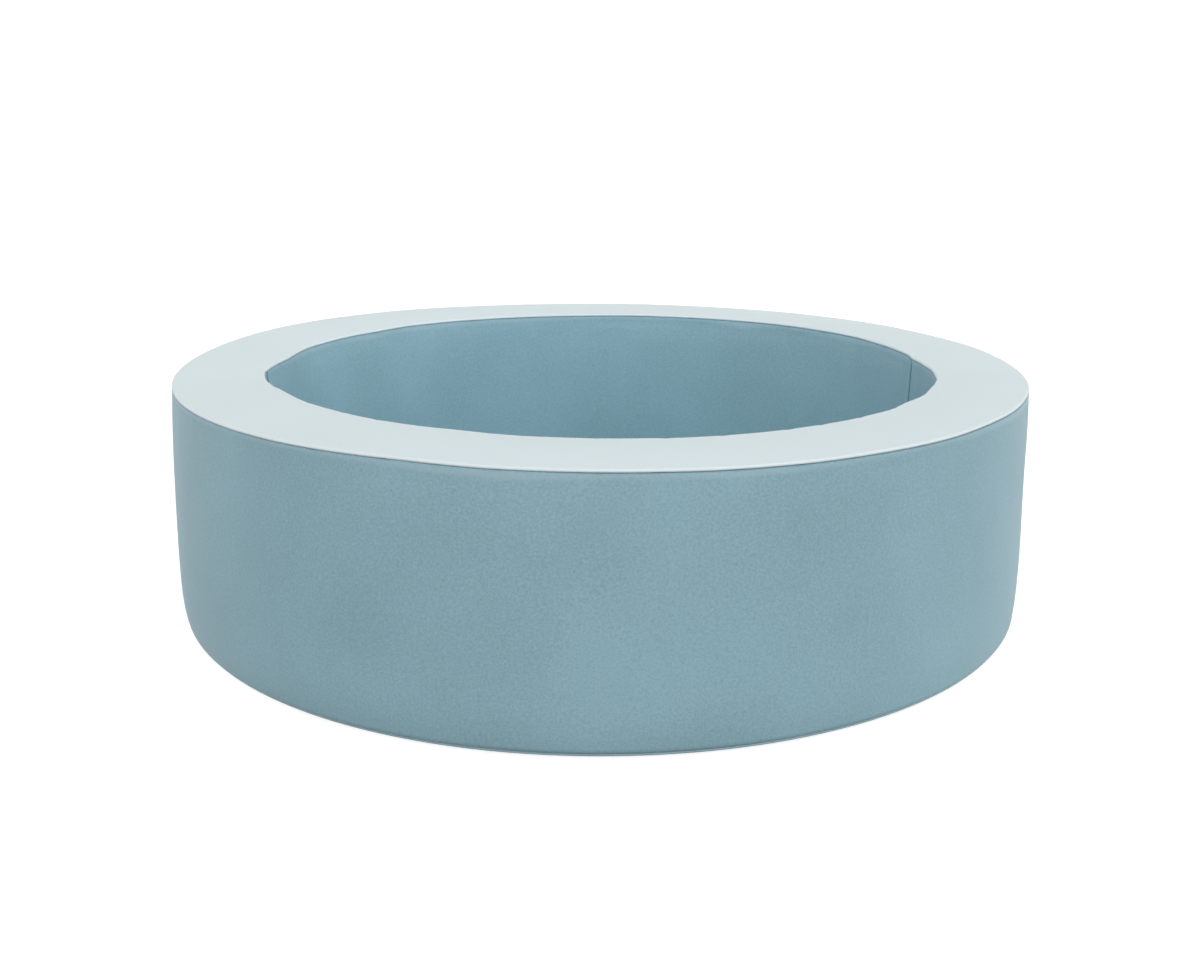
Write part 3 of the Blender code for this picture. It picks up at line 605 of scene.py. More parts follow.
class Panel:
    """A profile spun round the ring's axis, kept as rows and columns of vertices.

    The profile runs the way round that has the outside on its right: up the outer wall, inwards
    over the top, down the inner wall and outwards underneath.
    """

    OPEN_TURN = 3.0
    CUTS = (8, 4, 2, 1)
    TINY = 1e-6

    def __init__(self, outline: Outline, stations: Grid, closed: bool, loop: bool = False) -> None:
        """Spin the profile.

        Args:
            outline: the profile's points, as radius and height.
            stations: the angle of each column.
            closed: whether the last column joins the first.
            loop: whether the profile itself is closed.
        """
        self.outline = np.array(outline, float)
        self.stations = np.asarray(stations, float)
        self.closed = closed
        count = len(self.stations)
        turn = math.tau if closed else self.OPEN_TURN
        steps = count if closed else count - 1
        self.shape = bmesh.new()
        self.row_mark = self.shape.verts.layers.float.new("row")
        verts = [self.shape.verts.new((radius, 0, height)) for radius, height in outline]
        for row, vert in enumerate(verts):
            vert[self.row_mark] = row
        cuts = next(number for number in self.CUTS if steps % number == 0)
        spin(self.shape, verts, turn, steps // cuts, loop)
        if cuts > 1:
            around = [
                edge
                for edge in self.shape.edges
                if edge.verts[0][self.row_mark] == edge.verts[1][self.row_mark]
            ]
            bmesh.ops.subdivide_edges(self.shape, edges=around, cuts=cuts - 1)
        self.column_mark = self.shape.verts.layers.int.new("column")
        for vert in self.shape.verts:
            turned = math.atan2(vert.co.y, vert.co.x)
            if turned < -turn / steps / 2:
                turned += math.tau
            vert[self.column_mark] = round(turned * steps / turn) % count
        self.radii = np.repeat(self.outline[:, :1], count, 1)
        self.heights = np.repeat(self.outline[:, 1:], count, 1)
        steps_along = np.hypot(*np.diff(self.outline, axis=0).T)
        self.along = np.concatenate(([0.0], np.cumsum(steps_along)))[:, None]

    @property
    def angles(self) -> Grid:
        """The angle of every vertex, by row and column."""
        return np.repeat(self.stations[None, :], len(self.outline), 0)

    @property
    def length(self) -> float:
        """The profile's length."""
        return float(self.along[-1, 0])

    def inwards(self) -> tuple[Grid, Grid]:
        """Return the direction into the panel at every vertex.

        Returns:
            Its parts along the radius and along the height.
        """
        along_radius = np.gradient(self.radii, axis=0)
        along_height = np.gradient(self.heights, axis=0)
        length = np.maximum(np.hypot(along_radius, along_height), 1e-9)
        return -along_height / length, along_radius / length

    def press(self, depth: Grid) -> None:
        """Move every vertex inwards, at right angles to the profile.

        Args:
            depth: how far, by row and column.
        """
        by_radius, by_height = self.inwards()
        self.radii = self.radii + by_radius * depth
        self.heights = self.heights + by_height * depth

    def points(self) -> Grid:
        """Return the place of every vertex, by row and column."""
        across, deep = self.radii * np.cos(self.angles), self.radii * np.sin(self.angles)
        return np.stack((across, deep, self.heights), 2)

    def place_of(self, vert: BMVert) -> tuple[int, int]:
        """Return a vertex's row and column."""
        return round(vert[self.row_mark]), vert[self.column_mark]

    def cut_window(self, low: float, high: float, start: float, stop: float) -> None:
        """Cut a window out of the panel.

        Args:
            low: the outline's height at its lower edge.
            high: the outline's height at its upper edge.
            start: the angle of its first edge.
            stop: the angle of its last edge.
        """
        levels, turns = self.outline[:, 1], self.stations
        rows = (levels > low - self.TINY) & (levels < high + self.TINY)
        columns = (turns > start - self.TINY) & (turns < stop + self.TINY)
        gone = [
            item
            for item in self.shape.faces
            if all(rows[self.place_of(v)[0]] and columns[self.place_of(v)[1]] for v in item.verts)
        ]
        bmesh.ops.delete(self.shape, geom=gone, context="FACES")

    def settle(self, marks: dict[str, Grid] | None = None) -> BMesh:
        """Put the vertices in their places, and close and face what the spin left.

        Args:
            marks: values by row and column, to keep as vertex attributes.

        Returns:
            The finished bmesh.
        """
        points = self.points()
        marks = marks or {}
        layers = self.shape.verts.layers
        for name in marks:
            layers.float.new(name)
        self.row_mark, self.column_mark = layers.float["row"], layers.int["column"]
        named = [(layers.float[name], grid) for name, grid in marks.items()]
        for vert in self.shape.verts:
            row, column = self.place_of(vert)
            vert.co = points[row, column]
            for layer, grid in named:
                vert[layer] = grid[row, column]
        return self.shape

    def finish(
        self, piece: Piece, shades: tuple[Grid, Grid], core: Pair, thickness: float
    ) -> Object:
        """Settle the panel, face it outwards and give it its thickness.

        Args:
            piece: the piece that it becomes.
            shades: by row and column, how much painted shade and painted highlight it takes beside
                its seams.
            core: the radius and height of a circle inside what it covers.
            thickness: its cloth's thickness.

        Returns:
            The finished object.
        """
        grids = (shade + 0 * self.angles for shade in shades)
        shape = self.settle(dict(zip(PAINTED_SEAM_LIGHT, grids)))
        self.face_from(*core)
        made = piece.make(shape)
        add_thickness(made, thickness)
        return made

    def close_rims(self) -> None:
        """Fill the open loops of edges."""
        rims = [edge for edge in self.shape.edges if edge.is_boundary]
        bmesh.ops.edgeloop_fill(self.shape, edges=rims)

    def face_from(self, tube_radius: float, tube_height: float) -> None:
        """Face the panel away from a circle inside the ring's wall or the mat.

        Args:
            tube_radius: the circle's radius.
            tube_height: the circle's height.
        """
        bmesh.ops.recalc_face_normals(self.shape, faces=self.shape.faces)
        outward = 0.0
        for item in self.shape.faces:
            middle = item.calc_center_median()
            share = tube_radius / (math.hypot(middle.x, middle.y) or 1.0)
            core = Vector((middle.x * share, middle.y * share, tube_height))
            outward += item.calc_area() * item.normal.dot((middle - core).normalized())
        if outward < 0:
            bmesh.ops.reverse_faces(self.shape, faces=self.shape.faces)


@dataclass(frozen=True)
class ClothPress:
    """A short cloth simulation that swells a panel between its seams."""

    pressure: float = 4.0
    frames: int = 20
    cap: float = 0.0015
    give: float = 0.0003
    thinning: int = 2
    softenings: int = 2
    quality: int = 5

    def swell(self, panel: Panel, held: Grid, core: Pair) -> None:
        """Swell a panel with pressure from inside, and cap how far it moves.

        Args:
            panel: the panel, whose vertices take the result.
            held: by row and column, how firmly a point is sewn down, from 0 to 1.
            core: the radius and height of a circle inside what the panel covers.
        """
        rows = self.kept(len(panel.outline), False)
        columns = self.kept(len(panel.stations), panel.closed)
        coarse = Panel(panel.outline[rows], panel.stations[columns], panel.closed)
        coarse.radii = panel.radii[np.ix_(rows, columns)]
        coarse.heights = panel.heights[np.ix_(rows, columns)]
        coarse.settle()
        coarse.face_from(*core)
        places = [coarse.place_of(vert) for vert in coarse.shape.verts]
        mesh = bpy.data.meshes.new("cloth_trial")
        coarse.shape.to_mesh(mesh)
        coarse.shape.free()
        before = coarse.points()
        after = self.simulate(mesh, [float(held[rows[r], columns[c]]) for r, c in places])
        moved = np.zeros_like(before)
        for (row, column), point in zip(places, after):
            moved[row, column] = point - before[row, column]
        length = np.linalg.norm(moved, axis=2, keepdims=True)
        moved *= self.cap * np.tanh(length / self.cap) / np.maximum(length, 1e-9)
        fine = self.spread(moved, rows, columns, panel)
        fine *= (1.0 - held)[:, :, None]
        points = panel.points() + fine
        by_radius, by_height = panel.inwards()
        radii = np.hypot(points[..., 0], points[..., 1])
        sunk = (radii - panel.radii) * by_radius + fine[..., 2] * by_height
        panel.radii, panel.heights = radii, points[..., 2]
        panel.press(-np.maximum(sunk - self.give, 0.0))
        LOG.info("cloth moved by up to %.2f mm before its cap", 1000 * float(length.max()))

    def kept(self, count: int, closed: bool) -> Grid:
        """Choose the rows or columns that the thinner grid keeps.

        Args:
            count: how many there are.
            closed: whether the last one joins the first.

        Returns:
            The numbers of those kept.
        """
        kept = np.arange(0, count, self.thinning)
        if not closed and kept[-1] != count - 1:
            kept = np.append(kept, count - 1)
        return kept

    def simulate(self, mesh: Mesh, held: list[float]) -> Grid:
        """Run the cloth on a trial object.

        Args:
            mesh: the thinner panel, which is used up.
            held: how firmly each vertex is sewn down, from 0 to 1.

        Returns:
            Where the vertices end.
        """
        trial = bpy.data.objects.new("cloth_trial", mesh)
        scene = bpy.context.scene
        scene.collection.objects.link(trial)
        sewn = trial.vertex_groups.new(name="sewn")
        for number, weight in enumerate(held):
            sewn.add([number], weight, "REPLACE")
        cloth = trial.modifiers.new("cloth", "CLOTH")
        settings, cache = cloth.settings, cloth.point_cache
        settings.quality, settings.vertex_group_mass = self.quality, sewn.name
        settings.use_pressure, settings.uniform_pressure_force = True, self.pressure
        settings.effector_weights.gravity = 0.0
        cache.frame_start, cache.frame_end = 1, self.frames
        for number in range(1, self.frames + 1):
            scene.frame_set(number)
        settled = trial.evaluated_get(bpy.context.evaluated_depsgraph_get())
        after = np.array([vert.co for vert in settled.data.vertices])
        scene.frame_set(1)
        bpy.data.objects.remove(trial)
        bpy.data.meshes.remove(mesh)
        return after

    def spread(self, moved: Grid, rows: Grid, columns: Grid, panel: Panel) -> Grid:
        """Bring the thinner grid's movement to every vertex, and soften it.

        Args:
            moved: the movement of the vertices kept.
            rows: the rows kept.
            columns: the columns kept.
            panel: the whole panel.

        Returns:
            The movement by row and column of the whole panel.
        """
        if panel.closed:
            moved = np.concatenate((moved, moved[:, :1]), 1)
            columns = np.append(columns, len(panel.stations))
        by_row = self.weights(len(panel.outline), rows)
        by_column = self.weights(len(panel.stations), columns)
        fine = np.einsum("ra,abk,cb->rck", by_row, moved, by_column)
        for _ in range(self.softenings):
            padded = np.pad(fine, ((1, 1), (0, 0), (0, 0)), "edge")
            fine = (padded[:-2] + 2 * padded[1:-1] + padded[2:]) / 4
            style = "wrap" if panel.closed else "edge"
            padded = np.pad(fine, ((0, 0), (1, 1), (0, 0)), style)
            fine = (padded[:, :-2] + 2 * padded[:, 1:-1] + padded[:, 2:]) / 4
        return fine

    def weights(self, count: int, kept: Grid) -> Grid:
        """Return the shares of the kept rows or columns in each one."""
        identity = np.eye(len(kept))
        return np.stack([np.interp(np.arange(count), kept, row) for row in identity], 1)


# The ring's form


@dataclass(frozen=True)
class Waves:
    """A soft wave round the ring, by the bearing from its far side."""

    mean: float
    cosines: tuple[float, ...]
    sines: tuple[float, ...]

    def at(self, bearing: Grid) -> Grid:
        """Read the wave.

        Args:
            bearing: the bearings, in radians.

        Returns:
            Its height at each of them.
        """
        made = np.full(np.shape(bearing), self.mean)
        for turn, (cosine, sine) in enumerate(zip(self.cosines, self.sines), 1):
            made = made + cosine * np.cos(turn * bearing) + sine * np.sin(turn * bearing)
        return made


@dataclass(frozen=True)
class Gathers:
    """The small puckers that a curved seam draws into the cloth beside it."""

    count: int
    depth: float = 0.0012
    half_width: float = 0.0042
    reach: float = 0.026
    seed: int = 4
    at_seam: float = 0.3
    seam_fade: float = 0.004
    scatter: float = 0.28
    lean: float = 0.25
    depth_shares: Pair = (0.35, 1.25)
    reach_shares: Pair = (0.55, 1.3)
    width_shares: Pair = (0.7, 1.3)

    def press(self, panel: Panel, away: Grid, radius: float) -> Grid:
        """Return how deep the puckers press into a panel.

        Args:
            panel: the panel that they are drawn into.
            away: the distance of each row or vertex from the seam.
            radius: the seam's radius.

        Returns:
            The depth, by row and column.
        """
        chance = np.random.default_rng(self.seed)
        places = np.arange(self.count) + chance.uniform(-self.scatter, self.scatter, self.count)
        middles = places / self.count * math.tau
        depths = self.depth * chance.uniform(*self.depth_shares, self.count)
        reaches = self.reach * chance.uniform(*self.reach_shares, self.count)
        leans = chance.uniform(-self.lean, self.lean, self.count)
        made = np.zeros((len(panel.outline), len(panel.stations)))
        away = np.broadcast_to(away, made.shape)
        narrow, widening = self.width_shares
        for middle, depth, reach, lean in zip(middles, depths, reaches, leans):
            turned = (panel.angles - middle + math.pi) % math.tau - math.pi
            across = turned * radius - lean * away
            width = self.half_width * (narrow + widening * away / self.reach)
            fade = np.clip(1 - away / reach, 0, 1) ** 2
            made += depth * np.exp(-((across / width) ** 2)) * fade
        opened = ramp(away, 0.0, self.seam_fade)
        return made * (self.at_seam + (1 - self.at_seam) * opened)


@dataclass(frozen=True)
class Dents:
    """Broad shallow dents that foam shows through its cover."""

    depth: float = 0.0004
    count: int = 26
    seed: int = 11
    turns: tuple[int, int] = (3, 22)
    paces: Pair = (8.0, 42.0)

    def at(self, angles: Grid, along: Grid) -> Grid:
        """Return the dents' depth.

        Args:
            angles: the angle round the ring.
            along: the distance along the profile.

        Returns:
            The depth, about half of it outwards and half inwards.
        """
        chance = np.random.default_rng(self.seed)
        made = np.zeros(np.broadcast_shapes(np.shape(angles), np.shape(along)))
        for _ in range(self.count):
            turns = chance.integers(*self.turns)
            low, high = self.paces
            pace, phase, lean = chance.uniform((low, 0, 0), (high, math.tau, math.tau))
            made += np.cos(turns * angles + phase) * np.cos(pace * along + lean)
        return made * self.depth / math.sqrt(self.count / 2)


@dataclass(frozen=True)
class Kinks:
    """The slight corners of a sewn edge, which runs nearly straight between them."""

    count: int
    size: float
    seed: int
    scatter: float = 0.35

    def at(self, angles: Grid) -> Grid:
        """Read how far the edge strays.

        Args:
            angles: the angles, in radians.

        Returns:
            How far it strays at each of them.
        """
        chance = np.random.default_rng(self.seed)
        places = np.arange(self.count) + chance.uniform(-self.scatter, self.scatter, self.count)
        knots = places / self.count
        strays = chance.uniform(-self.size, self.size, self.count)
        return np.interp(angles, knots * math.tau, strays, period=math.tau)


@dataclass(frozen=True)
class RingShape:
    """The ring's own form, shared by its covers and its foam."""

    core: Pair = (0.4865, 0.15)
    outer: float = 0.550
    inner: float = 0.423
    height: float = 0.305
    inner_swell: float = 0.003
    top_draw_in: float = 0.0042
    foot_draw_in: float = 0.003
    widest: float = 0.054
    foot_radius: float = 0.014
    foot_seam: float = math.radians(38)
    growth: float = 0.0017
    crown: float = 0.0010
    edge_roll: float = 0.0024
    seam_drop: float = 0.0036
    seam_depth: float = 0.0009
    allowance: float = 0.0036
    wall_roll: float = 0.0026
    seam_gap: float = 0.0002
    side_lean: float = 0.0011
    lean_top: float = 0.2
    narrowest: float = 0.4200
    zip_side: Pair = (-0.297, -0.05)
    zip_fade: Pair = (0.058, 0.085)
    dent_fade: Pair = (0.02, 0.08)
    inner_share: float = 0.3
    kink_power: int = 6
    outer_lift: Waves = Waves(
        0.0004, (-0.0004, -0.0002, -0.0005, -0.0005), (-0.0029, -0.0008, -0.0006, 0.0007)
    )
    outer_reach: Waves = Waves(0.0, (0.0005, 0.0011, -0.0007, -0.0004), (0.0, -0.0006, 0.0, 0.0001))
    inner_lift: Waves = Waves(
        0.00075, (0.00055, 0.0002, -0.0005, -0.0006), (-0.0014, 0.0016, -0.0006, -0.0002)
    )
    inner_reach: Waves = Waves(
        0.0001, (-0.0008, -0.0018, 0.0008, 0.0003), (0.0016, -0.0008, 0.0, 0.0002)
    )
    outer_kinks: Kinks = Kinks(23, 0.0009, 3)
    inner_kinks: Kinks = Kinks(25, 0.0016, 8)
    lift_kinks: Kinks = Kinks(29, 0.0006, 5)
    corners: tuple[Triple, ...] = (
        (187.6, 0.0105, 13.0),
        (196.0, 0.0055, 9.0),
        (202.5, 0.0046, 7.0),
        (134.0, 0.0045, 8.0),
        (153.0, 0.0045, 10.0),
        (163.5, 0.0068, 10.0),
        (356.0, 0.0055, 12.0),
        (347.5, 0.0065, 13.0),
        (342.5, 0.0025, 7.0),
        (334.0, 0.0048, 6.5),
        (320.0, 0.0040, 6.0),
        (28.5, 0.0042, 8.0),
        (20.0, 0.0030, 20.0),
        (10.0, 0.0022, 7.0),
        (5.7, -0.0030, 3.0),
    )
    foot_tuck: Waves = Waves(0.0006, (-0.0004,), (-0.0024,))
    foot_reach: float = 0.030
    dents: Dents = Dents()
    low_rows: tuple[float, ...] = (
        *(0.014, 0.019, 0.0235, 0.028, 0.031, 0.034, 0.037, 0.040),
        *(0.0455, 0.051, 0.058, 0.066),
    )
    upper_rows: float = 0.035
    wall_tucks: tuple[float, ...] = (0.0014, 0.0005, 0.0001, 0.0, 0.0, 0.0)
    wall_turns: Pair = (0.012, -0.08)
    lip_tucks: tuple[float, ...] = (0.0014, 0.0006, 0.0001, 0.0, 0.0, 0.0, 0.0, 0.0)
    lip_turns: tuple[float, ...] = (39.0, 40.0, 43.0, 48.0, 54.0, 62.0, 72.0, 90.0)
    foam_clear: float = 0.0016
    channel_floor: float = 0.54615
    channel_room: float = 0.0006
    channel_rim: float = 0.0024
    channel_low: Pair = (0.0165, 0.0170)
    channel_high: Pair = (0.0510, 0.0515)
    shoulder: Pair = (0.0006, 0.0115)
    chamfer: Pair = (0.0072, 0.0068)
    foam_top: Pair = (0.0088, 0.0018)

    def outer_at(self, height: float) -> float:
        """Give the outer wall's plain radius.

        Args:
            height: where on the wall.

        Returns:
            The radius there.
        """
        if height >= self.widest:
            share = (height - self.widest) / (self.height - self.widest)
            return self.outer - self.top_draw_in * share**1.5
        share = (self.widest - height) / self.widest
        return self.outer - self.foot_draw_in * share**2

    def inner_at(self, height: float) -> float:
        """Return the inner wall's plain radius at a height."""
        return self.inner - self.inner_swell * (1 - (height / self.height) ** 2)

    def zip_zone(self, heights: Grid, angles: Grid) -> Grid:
        """Return where the wall keeps to its plain form for the zip, as a share."""
        far = ramp(np.sin(angles), *self.zip_side)
        return far * (1 - ramp(heights, *self.zip_fade))

    def warp(self, radii: Grid, heights: Grid, angles: Grid) -> tuple[Grid, Grid]:
        """Give points of the plain ring the soft waves of the real one.

        Args:
            radii: the points' radii.
            heights: the points' heights.
            angles: the points' angles.

        Returns:
            The new radii and heights.
        """
        outwards = np.clip((radii - self.inner) / (self.outer - self.inner), 0, 1)
        bearing = math.pi / 2 - angles
        up = np.clip(heights / self.height, 0, None)
        lift = (1 - outwards) * self.inner_lift.at(bearing) + outwards * self.outer_lift.at(bearing)
        reach = (1 - outwards) * self.inner_reach.at(bearing)
        reach = reach + outwards * self.outer_reach.at(bearing)
        strays = outwards * self.outer_kinks.at(angles)
        strays = strays + (1 - outwards) * self.inner_kinks.at(angles)
        at_top = up**self.kink_power
        reach = reach + strays * at_top + (1 - outwards) * self.corner_reach(angles)
        lift = lift + self.lift_kinks.at(angles) * np.abs(2 * outwards - 1) * at_top
        free = outwards * (1 - self.zip_zone(heights, angles))
        upright = ramp(heights, self.lean_top, self.height)
        lean = -self.side_lean * np.sin(bearing) * (1 - upright)
        low = np.clip(1 - heights / self.foot_reach, 0, 1) ** 1.5
        tuck = low * (self.growth + self.foot_tuck.at(bearing))
        moved = radii + reach * up**2 + free * (self.growth + lean - tuck)
        on_wall = np.maximum(free, 1 - ramp(outwards, 0.0, self.inner_share))
        dents = self.dents.at(angles, heights) * on_wall
        moved = moved + dents * ramp(heights, *self.dent_fade)
        inside = outwards < self.inner_share
        moved = np.where(inside, np.maximum(moved, self.narrowest), moved)
        return moved, heights + lift * up**2

    def corner_reach(self, angles: Grid) -> Grid:
        """Draw the opening's rim outwards at its few corners.

        Args:
            angles: the angles, in radians.

        Returns:
            How far it is drawn out at each of them.
        """
        made = np.zeros(np.shape(angles))
        for place, reach, half_width in self.corners:
            away = np.abs((np.degrees(angles) - place + 180.0) % 360.0 - 180.0)
            made = made + reach * np.clip(1 - away / half_width, 0, 1)
        return made

    def wall_rows(self) -> list[float]:
        """Place the wall's rows, closer together at the zip and at the top seam.

        Returns:
            Their heights, from the foot's end to the top seam.
        """
        upper = self.height - self.upper_rows
        middle = np.linspace(self.low_rows[-1], upper, 27)[1:].tolist()
        near_seam = np.linspace(upper, self.roll_base, 10)[1:].tolist()
        return [*self.low_rows, *middle, *near_seam]

    @property
    def channel_back(self) -> float:
        """The radius of the channel's floor in the far foam, where the zip's slider runs."""
        return self.channel_floor - self.channel_room

    @property
    def roll_base(self) -> float:
        """The height where the wall starts to roll in to the top seam."""
        return self.height - self.seam_drop - self.seam_gap - self.wall_roll

    def rolled_in(self, radius: float, side: int) -> list[Pair]:
        """Roll the wall's top edge in to the seam, and fold the allowance under.

        Args:
            radius: the wall's radius below the roll.
            side: 1 for the outer wall and -1 for the inner one.

        Returns:
            The profile's points, upwards.
        """
        rolled = []
        for turn in np.linspace(0, math.pi / 2, 7)[1:]:
            inset = side * self.seam_depth * (1 - math.cos(turn))
            rolled.append((radius - inset, self.roll_base + self.wall_roll * math.sin(turn)))
        seam, level = rolled[-1]
        folds = [(seam - side * self.allowance * share, level) for share in (0.5, 1.0)]
        return [*rolled, *folds]

    def foot_arc(self, radius: float, side: int) -> list[Pair]:
        """Round the wall's foot, which is tucked in at its seam.

        Args:
            radius: the wall's radius above the foot.
            side: 1 for the outer wall and -1 for the inner one.

        Returns:
            The profile's points, from the seam up.
        """
        centre = radius - side * self.foot_radius
        first, last = self.wall_turns
        turns = np.linspace(-self.foot_seam + first, last, len(self.wall_tucks))
        made = []
        for tuck, turn in zip(self.wall_tucks, turns):
            arc = self.foot_radius - tuck
            level = self.foot_radius + arc * math.sin(turn)
            made.append((centre + side * arc * math.cos(turn), level))
        return made

    def wall_outline(self, outside: bool) -> Outline:
        """Draw a wall's profile.

        Args:
            outside: whether it is the outer wall, and not the inner one.

        Returns:
            The points, upwards on the outer wall and downwards on the inner one.
        """
        at, side = (self.outer_at, 1) if outside else (self.inner_at, -1)
        rows = [(at(height), height) for height in self.wall_rows()]
        foot = self.foot_arc(at(self.foot_radius), side)
        made = [*foot, *rows, *self.rolled_in(rows[-1][0], side)]
        return made if outside else made[::-1]

    def top_outline(self) -> Outline:
        """Draw the top's profile, with its seam allowances folded in.

        Returns:
            The points, from the outer seam to the inner seam.
        """
        outside, inside = self.outer_at(self.height), self.inner
        level = self.height - self.edge_roll
        under = self.seam_drop - self.edge_roll
        lowest = self.height - self.seam_drop
        edge = [(-self.seam_depth - self.allowance * share, lowest) for share in (1.0, 0.5)]
        for turn in np.linspace(-math.pi / 2, 0, 7)[:-1]:
            edge.append((self.seam_depth * (math.cos(turn) - 1), level + under * math.sin(turn)))
        for turn in np.linspace(0, math.pi / 2, 9):
            roll = self.edge_roll * (math.cos(turn) - 1)
            edge.append((roll, level + self.edge_roll * math.sin(turn)))
        flat_out, flat_in = outside - self.edge_roll, inside + self.edge_roll
        middle, half = (flat_out + flat_in) / 2, (flat_out - flat_in) / 2
        across = []
        for share in np.linspace(1, -1, 27)[1:-1]:
            rise = self.crown * (1 - share**2)
            across.append((middle + half * share, self.height + rise))
        outer_edge = [(outside + step, height) for step, height in edge]
        inner_edge = [(inside - step, height) for step, height in reversed(edge)]
        return [*outer_edge, *across, *inner_edge]

    def bottom_outline(self) -> Outline:
        """Draw the underside's profile, with the lips that rise to its seams.

        Returns:
            The points, from the inner seam to the outer seam.
        """
        lip = []
        for turn, tuck in zip(np.radians(self.lip_turns), self.lip_tucks):
            arc = self.foot_radius - tuck
            lip.append((arc * math.cos(turn), self.foot_radius - arc * math.sin(turn)))
        outside = self.outer_at(self.foot_radius) - self.foot_radius
        inside = self.inner_at(self.foot_radius) + self.foot_radius
        flat = np.linspace(inside, outside, 14)[1:-1]
        inner_lip = [(inside - step, height) for step, height in lip]
        outer_lip = [(outside + step, height) for step, height in reversed(lip)]
        return [*inner_lip, *((radius, 0.0) for radius in flat), *outer_lip]

    def foam_outline(self, channel: bool) -> Outline:
        """Draw the closed profile of the foam, clear of the covers.

        Args:
            channel: whether it has the channel that the zip's slider runs in.

        Returns:
            The profile's points.
        """
        clear, core = self.foam_clear, self.foot_radius - self.foam_clear
        outside = self.outer_at(self.foot_radius) - self.foot_radius
        inside = self.inner_at(self.foot_radius) + self.foot_radius
        turns = np.linspace(-math.pi / 2, 0, 6)
        foot = [(core * math.cos(turn), self.foot_radius + core * math.sin(turn)) for turn in turns]
        made = [(outside + step, height) for step, height in foot]
        if channel:
            back = self.channel_back
            (low, floor_low), (floor_high, high) = self.channel_low, self.channel_high
            made += [(self.outer_at(low) - self.channel_rim, low), (back, floor_low)]
            made += [(back, floor_high), (self.outer_at(high) - self.channel_rim, high)]
        above, below = self.channel_high[1] + 0.0005, self.height - 0.02
        rows = [height for height in self.wall_rows() if height > above][::2]
        rows = [height for height in rows if height < below]
        made += [(self.outer_at(height) - clear, height) for height in rows]
        shoulder, chamfer = self.height - self.shoulder[1], self.height - self.chamfer[1]
        shoulder_in, chamfer_in = clear + self.shoulder[0], self.chamfer[0]
        made.append((self.outer_at(shoulder) - shoulder_in, shoulder))
        made.append((self.outer_at(chamfer) - chamfer_in, chamfer))
        edge, drop = self.foam_top
        edge_out, edge_in = self.outer_at(self.height) - edge, self.inner + edge
        middle, half = (edge_out + edge_in) / 2, (edge_out - edge_in) / 2
        for share in np.linspace(1, -1, 13):
            level = self.height - drop + self.crown * (1 - share**2)
            made.append((middle + half * share, level))
        made.append((self.inner_at(chamfer) + chamfer_in, chamfer))
        made.append((self.inner_at(shoulder) + shoulder_in, shoulder))
        made += [(self.inner_at(height) + clear, height) for height in reversed(rows)]
        made += [(inside - step, height) for step, height in reversed(foot)]
        return made


